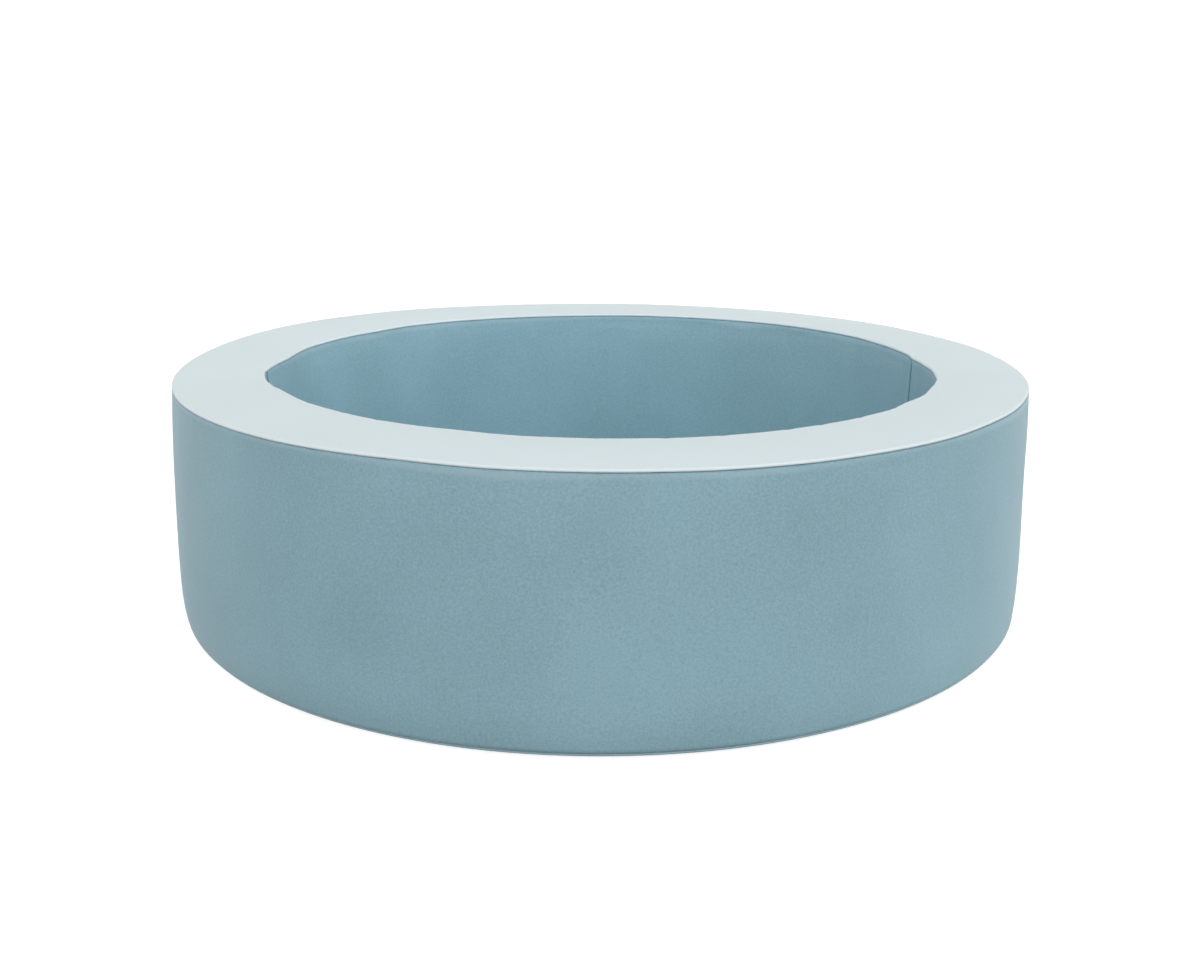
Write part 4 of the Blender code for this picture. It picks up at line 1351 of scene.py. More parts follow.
@dataclass(frozen=True)
class RingCover:
    """The ring's sewn cover: four wall panels, a top and an underside."""

    finishes: Finishes
    shape: RingShape = RingShape()
    thickness: float = 0.0011
    seam_angle: float = math.radians(6.5)
    seam_gap: float = 0.00015
    groove_half_width: float = 0.0085
    groove_depth: float = 0.0028
    window_start: float = math.radians(10.8186)
    window_low: float = 0.028
    window_high: float = 0.040
    # How strong the painted shade in the top's outer seam is, by angle round the ring in degrees.
    seam_shade_by_angle: tuple[Pair, ...] = (
        (60.0, 0.70),
        (180.0, 0.25),
        (215.0, 0.15),
        (236.0, 0.35),
        (262.0, 0.25),
        (270.0, 0.75),
        (330.0, 0.70),
    )
    outer_gathers: Gathers = Gathers(47, 0.0008, 0.0060)
    inner_gathers: Gathers = Gathers(40, 0.0012, seed=9)
    patches: Kinks = Kinks(37, 1.0, 17)
    press: ClothPress = ClothPress()
    top_held: Pair = (0.004, 0.02)
    side_held: Pair = (0.004, 0.014)
    crown_held: Pair = (0.006, 0.030)
    # Where the painted shade in the seams (dark) and the painted highlights beside them (pale) fade
    # out.
    wall_dark: Pair = (0.0005, 0.0018)
    foot_dark: Pair = (0.0008, 0.0026)
    side_dark: Pair = (0.0018, 0.0052)
    side_pale: Pair = (0.0052, 0.0066)
    side_plain: Pair = (0.0080, 0.0120)
    top_dark: Pair = (0.0003, 0.0012)
    top_pale: Pair = (0.0012, 0.0024)
    top_plain: Pair = (0.0034, 0.0052)
    under_dark: Pair = (0.0004, 0.0018)
    under_plain: Pair = (0.008, 0.012)
    # The painted highlight on the lips, and the strengths of painted shade and painted highlight.
    lip_start: float = 0.0014
    lip_reach: Pair = (0.003, 0.010)
    lip_highlight: Pair = (0.26, 0.40)
    inner_seam_shade: float = 0.45
    wall_shade: float = 0.88
    foot_shade: float = 0.8
    side_highlight: float = 0.22
    top_painted_light: Pair = (0.4, 0.3)
    top_share: float = 0.8
    top_shrink: float = 1.6
    notch_depth: float = 0.0012
    notch_half_width: float = 0.004
    notch_fade: Pair = (0.006, 0.018)
    notch_start: Pair = (0.001, 0.004)
    under_ease: float = 0.97
    edge_share: float = 1.3
    wall_columns: tuple[int, ...] = (10, 8, 380, 8, 10)
    top_columns: int = 800
    under_columns: int = 480
    groove_power: float = 1.6
    groove_fade: float = 0.006
    zone_held: float = 0.3
    lip_fade: Pair = (0.4, 1.0)
    lip_rise: float = 0.001

    def half_stations(self, half: Half) -> Grid:
        """Place a wall panel's columns, closer together at its seams.

        Args:
            half: which half of the ring the panel covers.

        Returns:
            Their angles.
        """
        edge = self.groove_half_width * self.edge_share / self.shape.outer
        start = self.seam_gap / self.shape.inner
        window = self.window_start - self.seam_angle
        knots = (start, start + edge, window, math.pi - window, math.pi - start - edge)
        spans = zip(knots, (*knots[1:], math.pi - start), self.wall_columns)
        made = [np.linspace(low, high, count + 1)[:-1] for low, high, count in spans]
        return np.concatenate((*made, [math.pi - start])) + self.seam_angle + half.value

    def from_edge(self, panel: Panel, radius: float) -> Grid:
        """Return each column's distance from the nearer side seam."""
        turned = (panel.stations - self.seam_angle) % math.pi
        return np.minimum(turned, math.pi - turned)[None, :] * radius

    def warped(self, outline: Outline, stations: Grid, closed: bool) -> Panel:
        """Lay a panel on the ring's waved form.

        Args:
            outline: its profile on the plain ring.
            stations: the angle of each column.
            closed: whether the last column joins the first.

        Returns:
            The panel.
        """
        panel = Panel(outline, stations, closed)
        panel.radii, panel.heights = self.shape.warp(panel.radii, panel.heights, panel.angles)
        return panel

    def seam_shade_at(self, angles: Grid) -> Grid:
        """Return how strong the painted shade in the top's outer seam is round the ring."""
        places, tones = zip(*self.seam_shade_by_angle)
        return np.interp(np.degrees(angles) % 360.0, places, tones, period=360.0)

    def lip(self, away: Grid, angles: Grid) -> Grid:
        """Paint a highlight on the cloth beside a seam, in patches of uneven width.

        Args:
            away: each row's distance from the seam.
            angles: each vertex's angle.

        Returns:
            How much painted highlight each vertex takes.
        """
        share = 0.5 + 0.5 * self.patches.at(angles)
        (near, further), (shade, deeper), start = self.lip_reach, self.lip_highlight, self.lip_start
        fade = 1 - ramp(away / (start + near + further * share), *self.lip_fade)
        return (shade + deeper * share) * ramp(away, start, start + self.lip_rise) * fade

    def groove(self, panel: Panel, edge: Grid, away: Grid) -> Grid:
        """Return the depth of the side seam's groove, shallower at the panel's ends."""
        dip = np.clip(1 - edge / self.groove_half_width, 0, 1) ** self.groove_power
        return self.groove_depth * dip * ramp(away, 0.0, self.groove_fade)

    def wall(self, half: Half, outside: bool) -> None:
        """Build one wall panel.

        Args:
            half: which half of the ring it covers.
            outside: whether it is the outer wall, and not the inner one.
        """
        panel = self.warped(self.shape.wall_outline(outside), self.half_stations(half), False)
        from_start, from_end = panel.along, panel.length - panel.along
        top_away, foot_away = (from_end, from_start) if outside else (from_start, from_end)
        top_away = np.maximum(top_away - self.shape.allowance, 0.0)
        radius = self.shape.outer if outside else self.shape.inner
        gathers = self.outer_gathers if outside else self.inner_gathers
        edge = self.from_edge(panel, radius)
        panel.press(gathers.press(panel, top_away, radius))
        panel.press(self.groove(panel, edge, np.minimum(top_away, foot_away)))
        held = 1 - ramp(np.minimum(top_away, foot_away), *self.top_held)
        held = np.maximum(held, 1 - ramp(edge, *self.side_held))
        if outside:
            zone = self.shape.zip_zone(panel.heights, panel.angles)
            held = np.maximum(held, ramp(zone, 0.0, self.zone_held))
        self.press.swell(panel, held, self.shape.core)
        if not outside:
            panel.radii = np.maximum(panel.radii, self.shape.narrowest)
        # Painted shade in the top, foot and side seams, and a painted highlight on the lips and
        # beside the side seams.
        tone = self.seam_shade_at(panel.angles) if outside else self.inner_seam_shade
        dark = self.wall_shade * tone * (1 - ramp(top_away, *self.wall_dark))
        dark = np.maximum(dark, self.foot_shade * (1 - ramp(foot_away, *self.foot_dark)))
        dark = np.maximum(dark, 1 - ramp(edge, *self.side_dark))
        beside = ramp(edge, *self.side_pale) * (1 - ramp(edge, *self.side_plain))
        pale = np.maximum(self.lip(top_away, panel.angles), self.side_highlight * beside)
        if outside and half is Half.FAR:
            stop = math.pi - self.window_start + 2 * self.seam_angle
            panel.cut_window(self.window_low, self.window_high, self.window_start, stop)
        side, name = ("outer" if outside else "inner"), half.name.lower()
        node = f"{side}_wall_panel_{name}"
        piece = Piece(f"{side}_cover_{name}", Body.RING, Slot.WALL, self.finishes.wall, (node,))
        made = panel.finish(piece, (dark, pale), self.shape.core, self.thickness)

    def top(self) -> None:
        """Build the top's one panel."""
        panel = self.warped(self.shape.top_outline(), round_stations(self.top_columns), True)
        outer_away = np.maximum(panel.along - self.shape.allowance, 0.0)
        inner_away = np.maximum(panel.length - panel.along - self.shape.allowance, 0.0)
        outer, inner = self.shape.outer, self.shape.inner
        share, shrink = self.top_share, self.top_shrink
        panel.press(share * self.outer_gathers.press(panel, outer_away * shrink, outer))
        panel.press(share * self.inner_gathers.press(panel, inner_away * shrink, inner))
        edge = self.from_edge(panel, outer)
        away = np.minimum(outer_away, inner_away)
        notch = np.exp(-((edge / self.notch_half_width) ** 2))
        notch = notch * (1 - ramp(away, *self.notch_fade))
        panel.press(self.notch_depth * notch * ramp(away, *self.notch_start))
        held = 1 - ramp(away, *self.crown_held)
        self.press.swell(panel, held + 0 * edge, self.shape.core)
        # Painted shade in the top's seams, and a painted highlight just beside them.
        painted_shade_strength, painted_highlight_strength = self.top_painted_light
        tone = painted_shade_strength * self.seam_shade_at(panel.angles)
        dark = tone * (1 - ramp(away, *self.top_dark))
        pale = ramp(away, *self.top_pale) * (1 - ramp(away, *self.top_plain))
        piece = Piece("top_cover", Body.RING, Slot.TOP, self.finishes.top, ("top_ring_panel",))
        made = panel.finish(piece, (dark, painted_highlight_strength * pale), self.shape.core, self.thickness)

    def bottom(self) -> None:
        """Build the underside's one panel."""
        stations = round_stations(self.under_columns)
        panel = self.warped(self.shape.bottom_outline(), stations, True)
        away = np.minimum(panel.along, panel.length - panel.along)
        # The seam shade mask is kept, but the woven cloth does not read it; the lips take a painted
        # highlight.
        dark = 1 - ramp(away, *self.under_dark)
        pale = 1 - ramp(away, *self.under_plain)
        finish, nodes = self.finishes.underside, ("bottom_ring_panel",)
        piece = Piece("bottom_cover", Body.RING, Slot.UNDERSIDE, finish, nodes)
        made = panel.finish(piece, (dark, pale), self.shape.core, self.thickness)

    def build(self) -> None:
        """Build every panel of the cover."""
        for half in Half:
            self.wall(half, True)
            self.wall(half, False)
        self.top()
        self.bottom()


@dataclass(frozen=True)
class RingFoam:
    """The ring's foam, in two halves that meet under the side seams."""

    finishes: Finishes
    shape: RingShape = RingShape()
    seam_angle: float = math.radians(6.5)
    end_gap: float = 0.0002
    relief: float = 0.0042
    relief_half_width: float = 0.0115
    relief_rise: Pair = (0.003, 0.012)
    relief_walls: Pair = (0.045, 0.058)
    end_span: float = 0.018
    end_step: float = 0.02
    fill: float = 1.0

    def build(self) -> None:
        """Build both halves."""
        for half in Half:
            self.core(half)

    def core(self, half: Half) -> None:
        """Build one half.

        Args:
            half: which half it is; the far one has the zip's channel.
        """
        gap = self.end_gap / self.shape.inner
        near_edge = np.linspace(0, self.end_span, 7)[:-1] + gap
        start = near_edge[-1] + self.end_step
        middle = np.linspace(start, math.pi - start, 109)
        stations = np.concatenate((near_edge, middle, math.pi - near_edge[::-1]))
        stations = stations + self.seam_angle + half.value
        outline = self.shape.foam_outline(half is Half.FAR)
        panel = Panel(outline, stations, False, loop=True)
        # The channel's floor is marked to take painted shade.
        channel_shaded = np.isclose(panel.radii, self.shape.channel_back)
        channel_shaded &= panel.heights > self.shape.channel_low[0] - 0.0005
        panel.radii, panel.heights = self.shape.warp(panel.radii, panel.heights, panel.angles)
        turned = (panel.angles - self.seam_angle) % math.pi
        edge = np.minimum(turned, math.pi - turned) * self.shape.outer
        near = self.relief * np.clip(1 - edge / self.relief_half_width, 0, 1)
        side = np.where(panel.radii > self.shape.core[0], -1.0, 1.0)
        high = ramp(panel.heights, *self.relief_rise)
        on_wall = ramp(np.abs(panel.radii - self.shape.core[0]), *self.relief_walls)
        panel.radii = panel.radii + side * near * high * on_wall
        panel.settle({"channel_shaded": (channel_shaded & (half is Half.FAR)) * 1.0})
        panel.close_rims()
        bmesh.ops.recalc_face_normals(panel.shape, faces=panel.shape.faces)
        name = half.name.lower()
        finish, nodes = self.finishes.foam, (f"wall_foam_{name}",)
        piece = Piece(f"ring_foam_{name}", Body.RING, Slot.FOAM, finish, nodes)
        piece.make(panel.shape)


# The mat


@dataclass(frozen=True)
class FloorMat:
    """The padded mat inside the ring: a crowned top, a side band, an underside and a foam disc."""

    finishes: Finishes
    radius: float = 0.41848
    thickness: float = 0.030
    crown: float = 0.004
    hub_share: float = 0.012
    edge_roll: float = 0.004
    roll_start: float = -0.12
    band_swell: float = 0.001
    band_shares: tuple[float, ...] = (-1, -0.93, -0.84, -0.7, -0.4, 0, 0.4, 0.7, 0.84, 0.93, 1)
    tuck_start: float = 0.7
    seam_depth: float = 0.0014
    seam_level: float = 0.0050
    seam_gap: float = 0.0003
    cover: float = 0.0011
    columns: int = 480
    under_columns: int = 240
    zip_half_length: float = 0.310
    recess_half_length: float = 0.336
    recess_half_width: float = 0.020
    recess_ramp: float = 0.016
    recess_side: float = 0.012
    lip_height: float = 0.0055
    slot_half_width: float = 0.006
    cuts_across: tuple[float, ...] = (0.006, 0.007, 0.008, 0.011, 0.014, 0.017, 0.020, 0.026)
    cuts_along: tuple[float, ...] = (0.310, 0.336, 0.340, 0.344, 0.348, 0.352, 0.360)
    last_middle_cut: float = 0.29
    channel_half_width: float = 0.0235
    channel_top: float = 0.0095
    channel_wall: float = 0.001
    channel_overrun: float = 0.004
    foam_columns: int = 160
    foam_clear: float = 0.0016
    foam_edge: float = 0.004
    foam_shoulder: Pair = (0.001, 0.0015)
    foam_rings: Pair = (0.004, 0.2)
    fill: float = 1.0
    sewn_down: Pair = (0.006, 0.03)
    # Where the painted shade and the painted highlight beside the seams fade out, and the
    # highlight's strength.
    painted_seam_shade: Pair = (0.0006, 0.0022)
    painted_seam_highlight: Pair = (0.003, 0.005)
    seam_plain: Pair = (0.007, 0.010)
    painted_highlight_strength: float = 0.5
    dark_reach: float = 0.0008
    band_gathers: float = 0.5
    gathers: Gathers = Gathers(70, 0.0008, 0.0035, 0.016, 21)
    press: ClothPress = ClothPress(cap=0.0016, thinning=4)

    @property
    def tube(self) -> Pair:
        """The radius and height of a circle inside the mat."""
        return self.radius / 2, self.thickness / 2

    def rolled(self, up: int, level: float) -> list[Pair]:
        """Draw a rolled edge.

        Args:
            up: 1 for the top's edge and -1 for the underside's.
            level: the height of the flat that it rolls into.

        Returns:
            The points, from the seam to the flat.
        """
        centre, middle = self.radius - self.edge_roll, level - up * self.edge_roll
        made = []
        for turn in np.linspace(self.roll_start, math.pi / 2, 7):
            rise = self.edge_roll * math.sin(turn)
            made.append((centre + self.edge_roll * math.cos(turn), middle + up * rise))
        return made

    def top_outline(self) -> Outline:
        """Draw the top's profile.

        Returns:
            The points, from its seam to its middle.
        """
        seam = (self.radius - self.seam_depth, self.thickness - self.seam_level + self.seam_gap)
        flat = self.radius - self.edge_roll
        shares = np.linspace(1, self.hub_share, 49)[1:]
        dome = [(flat * share, self.thickness + self.crown * (1 - share**2)) for share in shares]
        return [seam, *self.rolled(1, self.thickness), *dome]

    def band_outline(self) -> Outline:
        """Draw the side band's profile.

        Returns:
            The points, from its bottom seam to its top seam.
        """
        half = self.thickness / 2 - self.seam_level
        made = []
        for share in self.band_shares:
            tucked = max(0.0, (abs(share) - self.tuck_start) / (1 - self.tuck_start))
            swell = self.band_swell * (1 - share**2)
            radius = self.radius + swell - self.seam_depth * tucked**2
            made.append((radius, self.thickness / 2 + half * share))
        return made

    def top(self) -> None:
        """Build the crowned top."""
        panel = Panel(self.top_outline(), round_stations(self.columns), True)
        panel.press(self.gathers.press(panel, panel.along, self.radius))
        held = 1 - ramp(panel.along, *self.sewn_down) + 0 * panel.angles
        self.press.swell(panel, held, self.tube)
        panel.radii = np.minimum(panel.radii, self.radius)
        # Painted shade in the seam, and a painted highlight just beside it.
        dark = 1 - ramp(panel.along, *self.painted_seam_shade)
        plain = ramp(panel.along, *self.seam_plain)
        pale = self.painted_highlight_strength * ramp(panel.along, *self.painted_seam_highlight) * (1 - plain)
        rims = [edge for edge in panel.shape.edges if edge.is_boundary]
        hub = [edge for edge in rims if panel.place_of(edge.verts[0])[0] > 1]
        bmesh.ops.edgeloop_fill(panel.shape, edges=hub)
        piece = Piece("mat_top", Body.MAT, Slot.WALL, self.finishes.wall, ("mat_top_panel",))
        panel.finish(piece, (dark, pale), self.tube, self.cover)

    def band(self) -> None:
        """Build the side band."""
        panel = Panel(self.band_outline(), round_stations(self.columns), True)
        away = np.minimum(panel.along, panel.length - panel.along)
        panel.press(self.band_gathers * self.gathers.press(panel, away, self.radius))
        # Painted shade in the seams.
        dark = 1 - ramp(away, *self.painted_seam_shade)
        piece = Piece("mat_band", Body.MAT, Slot.WALL, self.finishes.wall, ("mat_side_band",))
        made = panel.finish(piece, (dark, 0 * dark), self.tube, self.cover)

    def recess(self, along: float, across: float) -> float:
        """Give the underside's rise towards the zip.

        Args:
            along: the distance from the mat's middle, along the zip.
            across: the distance from the zip.

        Returns:
            The rise.
        """
        sides = ramp(self.recess_half_width - abs(across), 0, self.recess_side)
        before_end = self.recess_half_length + self.recess_ramp - abs(along)
        ends = ramp(before_end, 0, self.recess_ramp)
        return self.lip_height * float(sides * ends)

    def bisect(self, shape: BMesh, along: Sequence[float], across: Sequence[float]) -> None:
        """Cut a shape by upright planes.

        Args:
            shape: the shape.
            along: where the planes stand along the x axis.
            across: where they stand along the y axis.
        """
        cuts = [((at, 0, 0), (1, 0, 0)) for at in along]
        cuts += [((0, at, 0), (0, 1, 0)) for at in across]
        for place, normal in cuts:
            whole = shape.verts[:] + shape.edges[:] + shape.faces[:]
            bmesh.ops.bisect_plane(shape, geom=whole, plane_co=place, plane_no=normal, dist=1e-6)

    def bottom(self) -> None:
        """Build the underside, flat but raised round its zip, with the zip's slot."""
        before = flat = self.radius - self.edge_roll
        shape = bmesh.new()
        bmesh.ops.create_circle(shape, cap_ends=True, radius=flat, segments=self.under_columns)
        edges = shape.edges[:]
        seam = (self.radius - self.seam_depth, self.seam_level - self.seam_gap)
        for radius, height in (*self.rolled(-1, 0.0)[-2::-1], seam):
            verts, edges = extrude_rim(shape, edges)
            bmesh.ops.scale(shape, vec=(radius / before, radius / before, 1), verts=verts)
            for vert in verts:
                vert.co.z = height
            before = radius
        middle = np.linspace(-self.last_middle_cut, self.last_middle_cut, 30)
        self.bisect(shape, [*both_sides(self.cuts_along), *middle], both_sides(self.cuts_across))
        slot = [
            face
            for face in shape.faces
            if abs(face.calc_center_median().y) < self.slot_half_width
            and abs(face.calc_center_median().x) < self.zip_half_length
        ]
        bmesh.ops.delete(shape, geom=slot, context="FACES")
        for name in PAINTED_SEAM_LIGHT:
            shape.verts.layers.float.new(name)
        # The seam shade mask is kept, but the woven cloth does not read it.
        dark = shape.verts.layers.float[PAINTED_SEAM_LIGHT[0]]
        for vert in shape.verts:
            vert[dark] = float(vert.co.z > self.seam_level - self.dark_reach)
            if math.hypot(vert.co.x, vert.co.y) < flat:
                vert.co.z += self.recess(vert.co.x, vert.co.y)
        face_along_z(shape, -1)
        finish, nodes = self.finishes.underside, ("mat_bottom_panel",)
        made = Piece("mat_bottom", Body.MAT, Slot.UNDERSIDE, finish, nodes).make(shape)
        add_thickness(made, self.cover)

    def core(self) -> None:
        """Build the foam disc, with the channel over the zip."""
        clear, edge, (inset, drop) = self.foam_clear, self.foam_edge, self.foam_shoulder
        rim, low, high = self.radius - clear, clear, self.thickness - clear
        outline = [*((ring, low) for ring in self.foam_rings), (rim - edge, low), (rim, low + edge)]
        outline += [(rim, high - edge), (rim - inset, high - drop), (rim - edge, high)]
        for share in np.linspace(1, self.hub_share, 16)[1:]:
            outline.append(((rim - edge) * share, high + self.crown * (1 - share**2)))
        panel = Panel(outline, round_stations(self.foam_columns), True)
        shape = panel.settle()
        panel.close_rims()
        half_length = self.recess_half_length + self.recess_ramp + self.channel_overrun
        half_width, wall, close = self.channel_half_width, self.channel_wall, 1e-5
        ends = both_sides((half_length, half_length + wall))
        self.bisect(shape, ends, both_sides((half_width, half_width + wall)))
        for vert in shape.verts:
            over = abs(vert.co.x) < half_length + close and abs(vert.co.y) < half_width + close
            if over and vert.co.z < self.channel_top:
                vert.co.z = self.channel_top
        bmesh.ops.recalc_face_normals(shape, faces=shape.faces)
        piece = Piece("mat_core", Body.MAT, Slot.FOAM, self.finishes.foam, ("mat_foam",))
        piece.make(shape)

    def build(self) -> None:
        """Build every part of the mat but its zip."""
        self.core()
        self.top()
        self.band()
        self.bottom()


# The zips


@dataclass(frozen=True)
class FootPath:
    """The way of the cover's zip, round the foot of the wall's far half."""

    shape: RingShape = RingShape()
    face_radius: float = 0.548151
    height: float = 0.034
    start: float = math.radians(10.8186)
    length: float = math.radians(171.3628) * 0.55

    def bend(self, points: Grid) -> Grid:
        """Lay points of a straight zip along the way.

        Args:
            points: the points, in rows.

        Returns:
            Their places on the way.
        """
        angle = self.start + points[:, 0] / self.shape.outer
        radius = self.face_radius + points[:, 2]
        places = (radius * np.cos(angle), radius * np.sin(angle), self.height + points[:, 1])
        return np.stack(places, 1)

    def place(self, along: float) -> Matrix:
        """Find the zip's own frame at a distance along it.

        Args:
            along: the distance.

        Returns:
            The frame.
        """
        angle = self.start + along / self.shape.outer
        there = Matrix.Translation((0, 0, self.height))
        turned = Matrix.Rotation(angle + math.pi / 2, 4, "Z") @ Matrix.Rotation(math.pi / 2, 4, "X")
        return there @ turned @ Matrix.Translation((0, 0, self.face_radius))

    def cover_level(self, across: float) -> float:
        """Return the cover's outer face above the tape's face, at a distance across."""
        return self.shape.outer_at(self.height + across) - self.face_radius


@dataclass(frozen=True)
class UnderPath:
    """The way of the mat's zip, straight across its underside."""

    mat: FloorMat
    face_height: float = 0.006897
    length: float = 0.620

    def bend(self, points: Grid) -> Grid:
        """Return points of a straight zip, laid along the way."""
        places = (points[:, 0] - self.length / 2, -points[:, 1], self.face_height - points[:, 2])
        return np.stack(places, 1)

    def place(self, along: float) -> Matrix:
        """Return the zip's own frame at a distance along it."""
        there = Matrix.Translation((along - self.length / 2, 0, self.face_height))
        return there @ Matrix.Rotation(math.pi, 4, "X")

    def cover_level(self, across: float) -> float:
        """Return the cover's outer face above the tape's face, at a distance across."""
        return self.face_height - self.mat.recess(0.0, across)


@dataclass(frozen=True)
class Zip:
    """A zip: two woven tapes, two rows of coil and its seam's stitches."""

    finishes: Finishes
    name: str
    body: Body
    path: FootPath | UnderPath
    sides: tuple[str, str]
    tape_width: float = 0.016
    tape_thickness: float = 0.0005
    tape_overrun: float = 0.004
    tape_edge: float = 0.0007
    coil_inset: float = 0.0006
    coil_pitch: float = 0.0015
    stitch_pitch: float = 0.0042
    stitch_length: float = 0.0032
    stitch_away: float = 0.009
    stitch_section: Pair = (0.0006, 0.0005)
    tape_step: float = 0.004
    coil_start: float = 0.001
    coil_end: float = 0.003
    turn_sections: tuple[tuple[float, float, float, float], ...] = (
        (0.00320, 0.00085, 0.00022, 0.00045),
        (0.00290, 0.00115, 0.00046, 0.00082),
        (0.00130, 0.00120, 0.00048, 0.00086),
        (0.00075, 0.00120, 0.00060, 0.00084),
        (0.00055, 0.00120, 0.00034, 0.00056),
    )

    def bent(self, piece: Piece, mesh: Mesh) -> Object:
        """Lay a straight mesh along the zip's way and finish it.

        Args:
            piece: the piece that it becomes.
            mesh: the mesh.

        Returns:
            The finished object.
        """
        places = np.zeros(len(mesh.vertices) * 3)
        mesh.vertices.foreach_get("co", places)
        mesh.vertices.foreach_set("co", self.path.bend(places.reshape(-1, 3)).ravel())
        return piece.finish_mesh(mesh)

    def row_of(self, shape: BMesh, count: int, pitch: float) -> Mesh:
        """Repeat a small shape in a row along x.

        Args:
            shape: the shape, which is used up.
            count: how many of it there are.
            pitch: the distance from each to the next.

        Returns:
            The row's mesh.
        """
        mesh = bpy.data.meshes.new("one")
        shape.to_mesh(mesh)
        shape.free()
        holder = bpy.data.objects.new("one", mesh)
        bpy.context.scene.collection.objects.link(holder)
        row = holder.modifiers.new("row", "ARRAY")
        row.count, row.use_relative_offset, row.use_constant_offset = count, False, True
        row.constant_offset_displace = (pitch, 0.0, 0.0)
        evaluated = holder.evaluated_get(bpy.context.evaluated_depsgraph_get())
        made = bpy.data.meshes.new_from_object(evaluated)
        bpy.data.objects.remove(holder)
        bpy.data.meshes.remove(mesh)
        return made

    def tape(self, side: int, word: str) -> None:
        """Build one tape, with its threads along its own UV map.

        Args:
            side: 1 or -1, across the zip.
            word: the side's name.
        """
        shape = bmesh.new()
        low, high = -self.tape_overrun, self.path.length + self.tape_overrun
        steps = round((high - low) / self.tape_step)
        bmesh.ops.create_grid(shape, x_segments=steps, y_segments=6, size=0.5)
        near, far = self.tape_edge, self.tape_width
        grid_uv = shape.loops.layers.uv.new("threads")
        for vert in shape.verts:
            across = near + (far - near) * (vert.co.y + 0.5)
            vert.co = (low + (high - low) * (vert.co.x + 0.5), side * across, 0.0)
        for face in shape.faces:
            for loop in face.loops:
                loop[grid_uv].uv = loop.vert.co.xy
        for name in PAINTED_SEAM_LIGHT:
            shape.verts.layers.float.new(name)
        face_along_z(shape, 1)
        mesh = bpy.data.meshes.new("tape")
        shape.to_mesh(mesh)
        shape.free()
        name, nodes = f"{self.name}_woven_{word}", (f"{self.name}_tape_{word}",)
        piece = Piece(name, self.body, Slot.TAPE, self.finishes.tape, nodes)
        made = self.bent(piece, mesh)
        add_thickness(made, self.tape_thickness)

    def tooth(self, side: int) -> BMesh:
        """Build one turn of the coil: a bent capsule across the tape, with a thicker head.

        Args:
            side: 1 or -1, across the zip.

        Returns:
            The turn, drawn through its sections: across, height, half width and half depth.
        """
        shape = bmesh.new()
        bmesh.ops.create_circle(shape, cap_ends=True, radius=1.0, segments=6)
        upright = Matrix.Rotation(math.pi / 2, 3, "X")
        bmesh.ops.rotate(shape, verts=shape.verts, cent=(0, 0, 0), matrix=upright)
        verts, edges = shape.verts[:], shape.edges[:]
        before = (0.0, 0.0, 1.0, 1.0)
        for number, section in enumerate(self.turn_sections):
            if number:
                verts, edges = extrude_rim(shape, edges)
            across, height, width, depth = section
            centre = (0, side * before[0], before[1])
            grow = Matrix.Diagonal((width / before[2], 1.0, depth / before[3]))
            bmesh.ops.translate(shape, vec=[-part for part in centre], verts=verts)
            bmesh.ops.transform(shape, matrix=grow.to_4x4(), verts=verts)
            bmesh.ops.translate(shape, vec=(0, side * across, height), verts=verts)
            before = section
        bmesh.ops.edgeloop_fill(shape, edges=edges)
        bmesh.ops.recalc_face_normals(shape, faces=shape.faces)
        return shape

    def coil(self, side: int, word: str) -> None:
        """Build one row of coil.

        Args:
            side: 1 or -1, across the zip.
            word: the side's name.
        """
        shape = self.tooth(side)
        count = int((self.path.length - 2 * self.coil_inset - self.coil_end) / self.coil_pitch)
        start = self.coil_inset + self.coil_start + (self.coil_pitch / 2 if side > 0 else 0.0)
        bmesh.ops.translate(shape, vec=(start, 0, 0), verts=shape.verts)
        name, nodes = f"{self.name}_turns_{word}", (f"{self.name}_coil_{word}",)
        piece = Piece(name, self.body, Slot.COIL, self.finishes.coil, nodes)
        self.bent(piece, self.row_of(shape, count, self.coil_pitch))

    def stitches(self, side: int, word: str) -> None:
        """Sew the row of stitches that holds the cover to one tape.

        Args:
            side: 1 or -1, across the zip.
            word: the side's name.
        """
        shape = bmesh.new()
        bmesh.ops.create_icosphere(shape, subdivisions=1, radius=0.5)
        across = side * self.stitch_away
        size = (self.stitch_length, *self.stitch_section)
        bmesh.ops.scale(shape, vec=size, verts=shape.verts)
        level = self.path.cover_level(across)
        bmesh.ops.translate(shape, vec=(self.stitch_pitch, across, level), verts=shape.verts)
        count = int(self.path.length / self.stitch_pitch) - 1
        piece = Piece(f"{self.name}_stitches_{word}", self.body, Slot.WALL, self.finishes.thread)
        self.bent(piece, self.row_of(shape, count, self.stitch_pitch))

    def build(self) -> None:
        """Build the zip."""
        for side, word in zip((1, -1), self.sides):
            self.tape(side, word)
            self.coil(side, word)
            self.stitches(side, word)


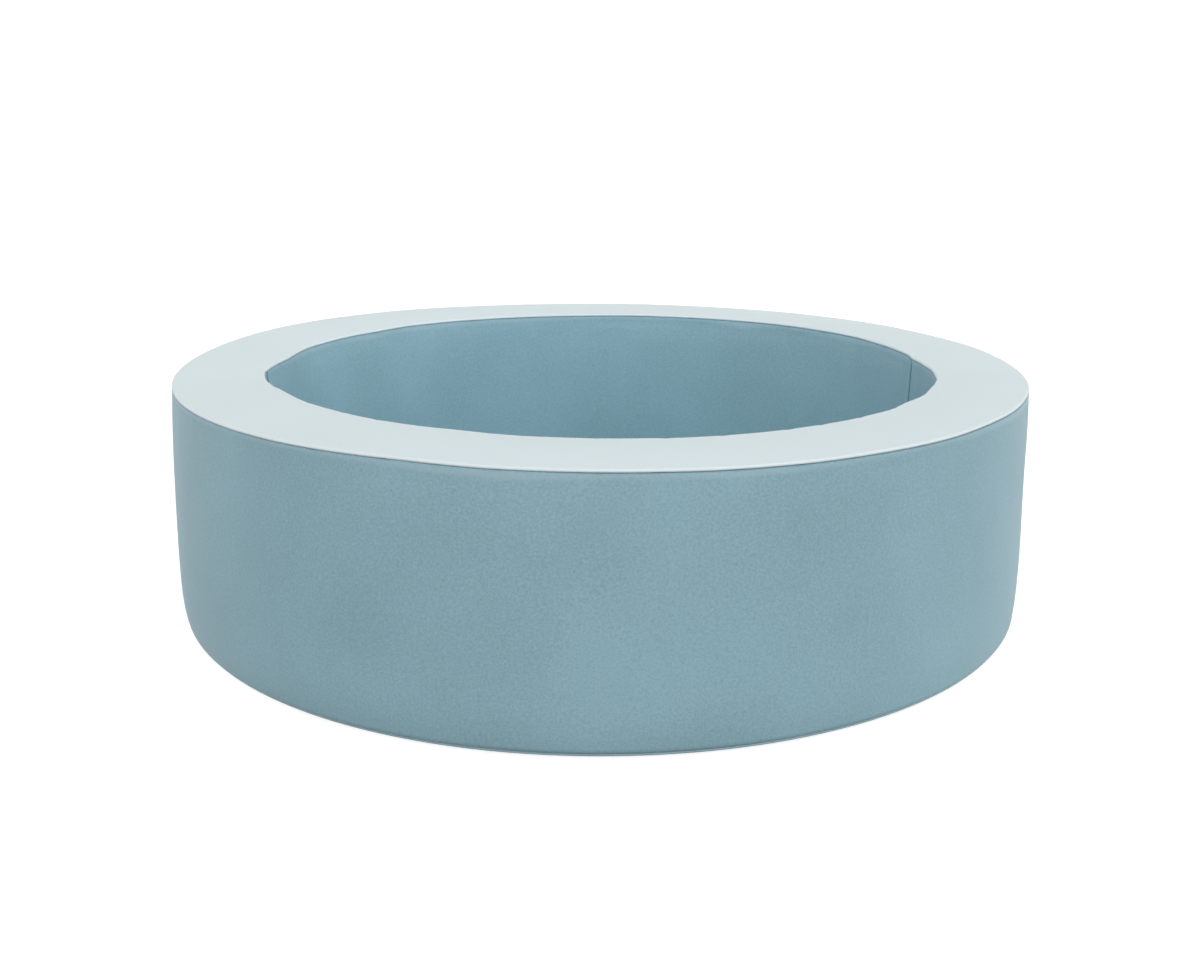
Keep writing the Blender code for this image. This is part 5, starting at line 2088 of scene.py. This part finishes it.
@dataclass(frozen=True)
class ZipMetal:
    """The metal of one zip: its slider, the pull on it and the two stops.

    Every part is made in the zip's own frame: x along it, y across it and z out of the cover.
    """

    finishes: Finishes
    name: str
    bodies: tuple[Body, Body, Body]
    path: FootPath | UnderPath
    slider_place: float = 0.0117
    half_length: float = 0.0065
    half_width: float = 0.0045
    plates: tuple[Pair, ...] = ((0.0025, 0.0035), (-0.00219, -0.00119))
    post_half_width: float = 0.0004
    flange_inside: float = 0.0036
    flange_base: float = 0.0007
    bridge_half_span: float = 0.0033
    bridge_half_width: float = 0.0010
    bridge_top: float = 0.006597
    bridge_thickness: float = 0.0008
    bar_height: float = 0.0046485
    pull_length: float = 0.026
    pull_half_width: float = 0.0032
    pull_half_thickness: float = 0.0006
    eye_length: float = 0.0046
    eye_half_width: float = 0.0016
    hole_radius: float = 0.00135
    rib_height: float = 0.00022
    stop_half_length: float = 0.0013
    stop_half_width: float = 0.0044
    stop_thickness: float = 0.0009
    stop_base: float = 0.0003
    stop_top: float = 0.0033
    rounding: float = 0.00022
    sharp_angle: float = math.radians(50)
    shade_angle: float = math.radians(35)
    seat: float = 0.0001
    plate_shares: tuple[Pair, ...] = (
        *((-1.0, 0.70), (-0.95, 0.81), (-0.83, 0.90), (-0.63, 0.99), (0.0, 1.0)),
        *((0.60, 0.99), (0.80, 0.89), (0.93, 0.76), (1.0, 0.55)),
    )
    post_shares: tuple[float, float, float, float] = (0.62, 0.70, 0.88, 0.93)
    post_sink: float = 0.00005
    post_rounding: float = 0.00005
    flange_share: float = 0.60
    flange_rounding: float = 0.00015
    bridge_corner: float = 0.0015
    pull_corner: float = 0.0024
    pull_nick: float = 0.0006
    pull_rounding: float = 0.00018
    ribs: int = 5
    rib_start: float = 0.0042
    rib_pitch: float = 0.0016
    rib_width: float = 0.0008
    rib_half_length: float = 0.0021
    rib_rounding: float = 0.00008
    stop_corner: float = 0.0012

    def block(
        self,
        shape: BMesh,
        outlines: Sequence[Outline],
        span: Pair,
        axis: str,
        rounding: float | None = None,
    ) -> None:
        """Add a block with rounded edges to a shape.

        Args:
            shape: the shape that it joins.
            outlines: its outline, and then the outline of every hole through it.
            span: where it starts and ends along the axis.
            axis: the axis that it is extruded along.
            rounding: the radius of its edges, if not the common one.
        """
        slot = "xyz".index(axis)
        edges = []
        for outline in outlines:
            verts = []
            for first, second in outline:
                place = [first, second]
                place.insert(slot, span[0])
                verts.append(shape.verts.new(place))
            edges += [shape.edges.new(pair) for pair in zip(verts, verts[1:] + verts[:1])]
        filled = bmesh.ops.triangle_fill(shape, use_beauty=True, edges=edges)["geom"]
        faces = [item for item in filled if isinstance(item, BMFace)]
        raised = bmesh.ops.extrude_face_region(shape, geom=faces, use_keep_orig=True)["geom"]
        verts = [item for item in raised if isinstance(item, BMVert)]
        shift = [0.0, 0.0, 0.0]
        shift[slot] = span[1] - span[0]
        bmesh.ops.translate(shape, vec=shift, verts=verts)
        whole = {face for vert in verts for face in vert.link_faces} | set(faces)
        bmesh.ops.recalc_face_normals(shape, faces=list(whole))
        sharp = {
            edge
            for face in whole
            for edge in face.edges
            if len(edge.link_faces) == 2 and edge.calc_face_angle() > self.sharp_angle
        }
        width = self.rounding if rounding is None else rounding
        bmesh.ops.bevel(
            shape, geom=list(sharp), offset=width, segments=2, profile=0.5, affect="EDGES",
            material=-1,
        )

    def arc(
        self, centre: Pair, radius: float, low: float, high: float, steps: int = 5
    ) -> list[Pair]:
        """Draw an arc.

        Args:
            centre: its centre.
            radius: its radius.
            low: the angle where it starts, in degrees.
            high: the angle where it ends.
            steps: how many chords it has.

        Returns:
            Its points.
        """
        turns = np.radians(np.linspace(low, high, steps + 1))
        along, across = centre
        return [(along + radius * math.cos(t), across + radius * math.sin(t)) for t in turns]

    def arch(self, half: float, base: float, top: float, thick: float, corner: float) -> Outline:
        """Draw an upright arch with rounded corners.

        Args:
            half: half its span.
            base: the height where it stands.
            top: the height of its top.
            thick: its thickness.
            corner: its corners' radius, outside.

        Returns:
            Its points.
        """
        right, left = (half - corner, top - corner), (corner - half, top - corner)
        made = [(half, base), *self.arc(right, corner, 0, 90), *self.arc(left, corner, 90, 180)]
        made += [(-half, base), (thick - half, base), *self.arc(left, corner - thick, 180, 90)]
        return [*made, *self.arc(right, corner - thick, 90, 0), (half - thick, base)]

    def finish(self, shape: BMesh, word: str, body: Body, along: float, turn: float) -> None:
        """Lay a part on the zip and finish it as a piece.

        Args:
            shape: the part.
            word: its name on the zip.
            body: what it rides on.
            along: its place along the zip.
            turn: how far it is turned about the zip's upright axis.
        """
        place = self.path.place(along) @ Matrix.Rotation(turn, 4, "Z")
        bmesh.ops.transform(shape, matrix=place, verts=shape.verts)
        name, nodes = f"{self.name}_metal_{word}", (f"{self.name}_{word}",)
        made = Piece(name, body, Slot.METAL, self.finishes.metal, nodes).make(shape)
        made.data.set_sharp_from_angle(angle=self.shade_angle)

    def slider(self) -> None:
        """Build the slider: two plates, the post between them, flanges and the pull's bridge."""
        shape = bmesh.new()
        side = [(x * self.half_length, y * self.half_width) for x, y in self.plate_shares]
        plate = [*side, *((along, -across) for along, across in reversed(side))]
        for span in self.plates:
            self.block(shape, [plate], span, "z")
        outer, inner = self.plates[0][0] + self.post_sink, self.plates[1][1] - self.post_sink
        wide = self.post_half_width
        tip, front, back, tail = (share * self.half_length for share in self.post_shares)
        post = [(tip, 0.0), (front, wide), (back, wide), (tail, 0.0), (back, -wide), (front, -wide)]
        self.block(shape, [post], (inner, outer), "z", self.post_rounding)
        edge, inside = self.half_width - self.seat, self.flange_inside
        reach = self.flange_share * self.half_length
        for side in (-1, 1):
            flange = [(-reach, side * inside), (-reach, side * edge)]
            flange += [(reach, side * edge), (reach, side * inside)]
            self.block(shape, [flange], (self.flange_base, outer), "z", self.flange_rounding)
        half, base, top = self.bridge_half_span, self.plates[0][1] - self.seat, self.bridge_top
        bridge = self.arch(half, base, top, self.bridge_thickness, self.bridge_corner)
        self.block(shape, [bridge], (-self.bridge_half_width, self.bridge_half_width), "y")
        self.finish(shape, "slider", self.bodies[1], self.slider_place, math.pi)

    def pull(self) -> None:
        """Build the pull, with its eye, the hole at its tip and ribs to grip."""
        shape = bmesh.new()
        bar, wide, nick = self.pull_half_thickness, self.pull_half_width, self.pull_nick
        tip, corner = bar - self.pull_length, self.pull_corner
        outline = [(bar, nick - wide), (bar, wide - nick), (bar - nick, wide)]
        outline += self.arc((tip + corner, wide - corner), corner, 90, 180)
        outline += self.arc((tip + corner, corner - wide), corner, 180, 270)
        outline.append((bar - nick, -wide))
        end, eye = -bar - self.eye_length, self.eye_half_width
        opening = [(-bar, -eye), (-bar, eye), (end + nick, eye), (end, eye - nick)]
        opening += [(end, nick - eye), (end + nick, -eye)]
        hole = self.arc((tip + wide, 0.0), self.hole_radius, 0, 345, 23)
        low, high = self.bar_height - bar, self.bar_height + bar
        self.block(shape, [outline, opening, hole], (low, high), "z", self.pull_rounding)
        reach = self.rib_half_length
        for number in range(self.ribs):
            first = end - self.rib_start - self.rib_pitch * number
            last = first + self.rib_width
            rib = [(first, -reach), (first, reach), (last, reach), (last, -reach)]
            for face, sign in ((low, -1), (high, 1)):
                bottom, top = sorted((face - sign * self.seat, face + sign * self.rib_height))
                self.block(shape, [rib], (bottom, top), "z", self.rib_rounding)
        self.finish(shape, "pull", self.bodies[2], self.slider_place, math.pi)

    def stop(self, word: str, along: float) -> None:
        """Build a stop: a strap crimped over both rows of coil.

        Args:
            word: its name on the zip.
            along: its place along the zip.
        """
        shape = bmesh.new()
        half, base, top = self.stop_half_width, self.stop_base, self.stop_top
        strap = self.arch(half, base, top, self.stop_thickness, self.stop_corner)
        self.block(shape, [strap], (-self.stop_half_length, self.stop_half_length), "x")
        self.finish(shape, word, self.bodies[0], along, 0.0)

    def build(self) -> None:
        """Build the slider, the pull and the stops."""
        self.slider()
        self.pull()
        self.stop("closed_stop", 2 * self.stop_half_length)
        self.stop("open_stop", self.path.length - 2 * self.stop_half_length)


# Camera, floor and light


@dataclass(frozen=True)
class Studio:
    """The camera, the floor and the light of the photograph."""

    camera_place: Triple = (0.0, -1.847, 0.654)
    camera_tilt: float = math.radians(74.55)
    lens: float = 42.34
    sensor: float = 36.0
    floor_glow: float = 0.84
    ground_glow: float = 0.08
    sky_glow: float = 0.45
    horizon: Pair = (-0.1, 0.1)
    floor_grey: float = 0.3
    floor_roughness: float = 0.9
    floor_drop: float = 0.0005
    backdrop: Outline = ((0.0, 0.0), (8.0, 0.0), (11.0, 0.4), (13.0, 2.0), (14.0, 5.0), (14.0, 9.0))
    backdrop_columns: int = 48
    softboxes: tuple[tuple[Triple, float, float], ...] = (
        ((-0.16, -0.89, 0.42), 4.0, 0.60),
        ((0.12, -0.70, 0.71), 4.0, 1.15),
        ((0.91, 0.0, 0.42), 4.0, 1.27),
        ((-0.91, 0.0, 0.42), 4.0, 0.70),
    )

    def build(self) -> None:
        """Build the camera, the floor and the light."""
        self.add_camera()
        self.add_floor()
        self.add_sky()

    def add_camera(self) -> None:
        """Put the camera where the photograph was taken from."""
        data = bpy.data.cameras.new("camera")
        data.lens, data.sensor_width, data.sensor_fit = self.lens, self.sensor, "HORIZONTAL"
        camera = bpy.data.objects.new("camera", data)
        camera.location = self.camera_place
        camera.rotation_euler = (self.camera_tilt, 0.0, 0.0)
        bpy.context.scene.collection.objects.link(camera)
        bpy.context.scene.camera = camera

    def add_floor(self) -> None:
        """Lay a plain pale floor that rises into a backdrop all round."""
        shape = bmesh.new()
        verts = [shape.verts.new((radius, 0, height)) for radius, height in self.backdrop]
        spin(shape, verts, math.tau, self.backdrop_columns)
        bmesh.ops.remove_doubles(shape, verts=shape.verts, dist=1e-5)
        bmesh.ops.recalc_face_normals(shape, faces=shape.faces)
        mesh = bpy.data.meshes.new("studio_floor")
        shape.to_mesh(mesh)
        shape.free()
        board = MaterialBoard("studio_floor")
        board.dress(Base_Color=(*[self.floor_grey] * 3, 1.0), Roughness=self.floor_roughness)
        board.dress(Emission_Color=(1.0, 1.0, 1.0, 1.0), Emission_Strength=self.floor_glow)
        mesh.materials.append(board.material)
        floor = bpy.data.objects.new("studio_floor", mesh)
        floor.location.z = -self.floor_drop
        floor.visible_diffuse = False
        floor.visible_shadow = False
        bpy.context.scene.collection.objects.link(floor)

    def add_sky(self) -> None:
        """Light the scene from a soft dome, brighter towards the key side."""
        world = bpy.data.worlds.new("studio")
        board = NodeBoard(world)
        direction = board.add("ShaderNodeTexCoord").outputs["Generated"]
        height = board.add("ShaderNodeSeparateXYZ", {0: direction}).outputs[2]
        glow = board.span(height, *self.horizon, self.ground_glow, self.sky_glow)
        for place, power, strength in self.softboxes:
            inputs = {0: direction, 1: place}
            facing = board.add("ShaderNodeVectorMath", inputs, operation="DOT_PRODUCT")
            lobe = board.sum(facing.outputs["Value"], 0.0, "MAXIMUM")
            lobe = board.sum(lobe, power, "POWER")
            glow = board.sum(glow, board.sum(lobe, strength, "MULTIPLY"))
        board.feed(board.tree.nodes["Background"].inputs["Strength"], glow)
        board.feed(board.tree.nodes["Background"].inputs["Color"], (1.0, 1.0, 1.0, 1.0))
        bpy.context.scene.world = world
        bpy.context.scene.view_settings.view_transform = "Standard"


def main() -> None:
    """Build the pit's sub-assemblies in order, and the studio round them."""
    logging.basicConfig(level=logging.INFO, format="%(name)s: %(message)s")
    finishes = Finishes.make()
    RingFoam(finishes).build()
    RingCover(finishes).build()
    mat = FloorMat(finishes)
    mat.build()
    foot, under = FootPath(), UnderPath(mat)
    cover_bodies = (Body.RING, Body.COVER_SLIDER, Body.COVER_PULL)
    Zip(finishes, "cover_zip", Body.RING, foot, ("upper", "lower")).build()
    ZipMetal(finishes, "cover_zip", cover_bodies, foot).build()
    mat_bodies = (Body.MAT, Body.MAT_SLIDER, Body.MAT_PULL)
    Zip(finishes, "mat_zip", Body.MAT, under, ("near", "far")).build()
    ZipMetal(finishes, "mat_zip", mat_bodies, under).build()
    Studio().build()


if __name__ == "__main__":
    main()
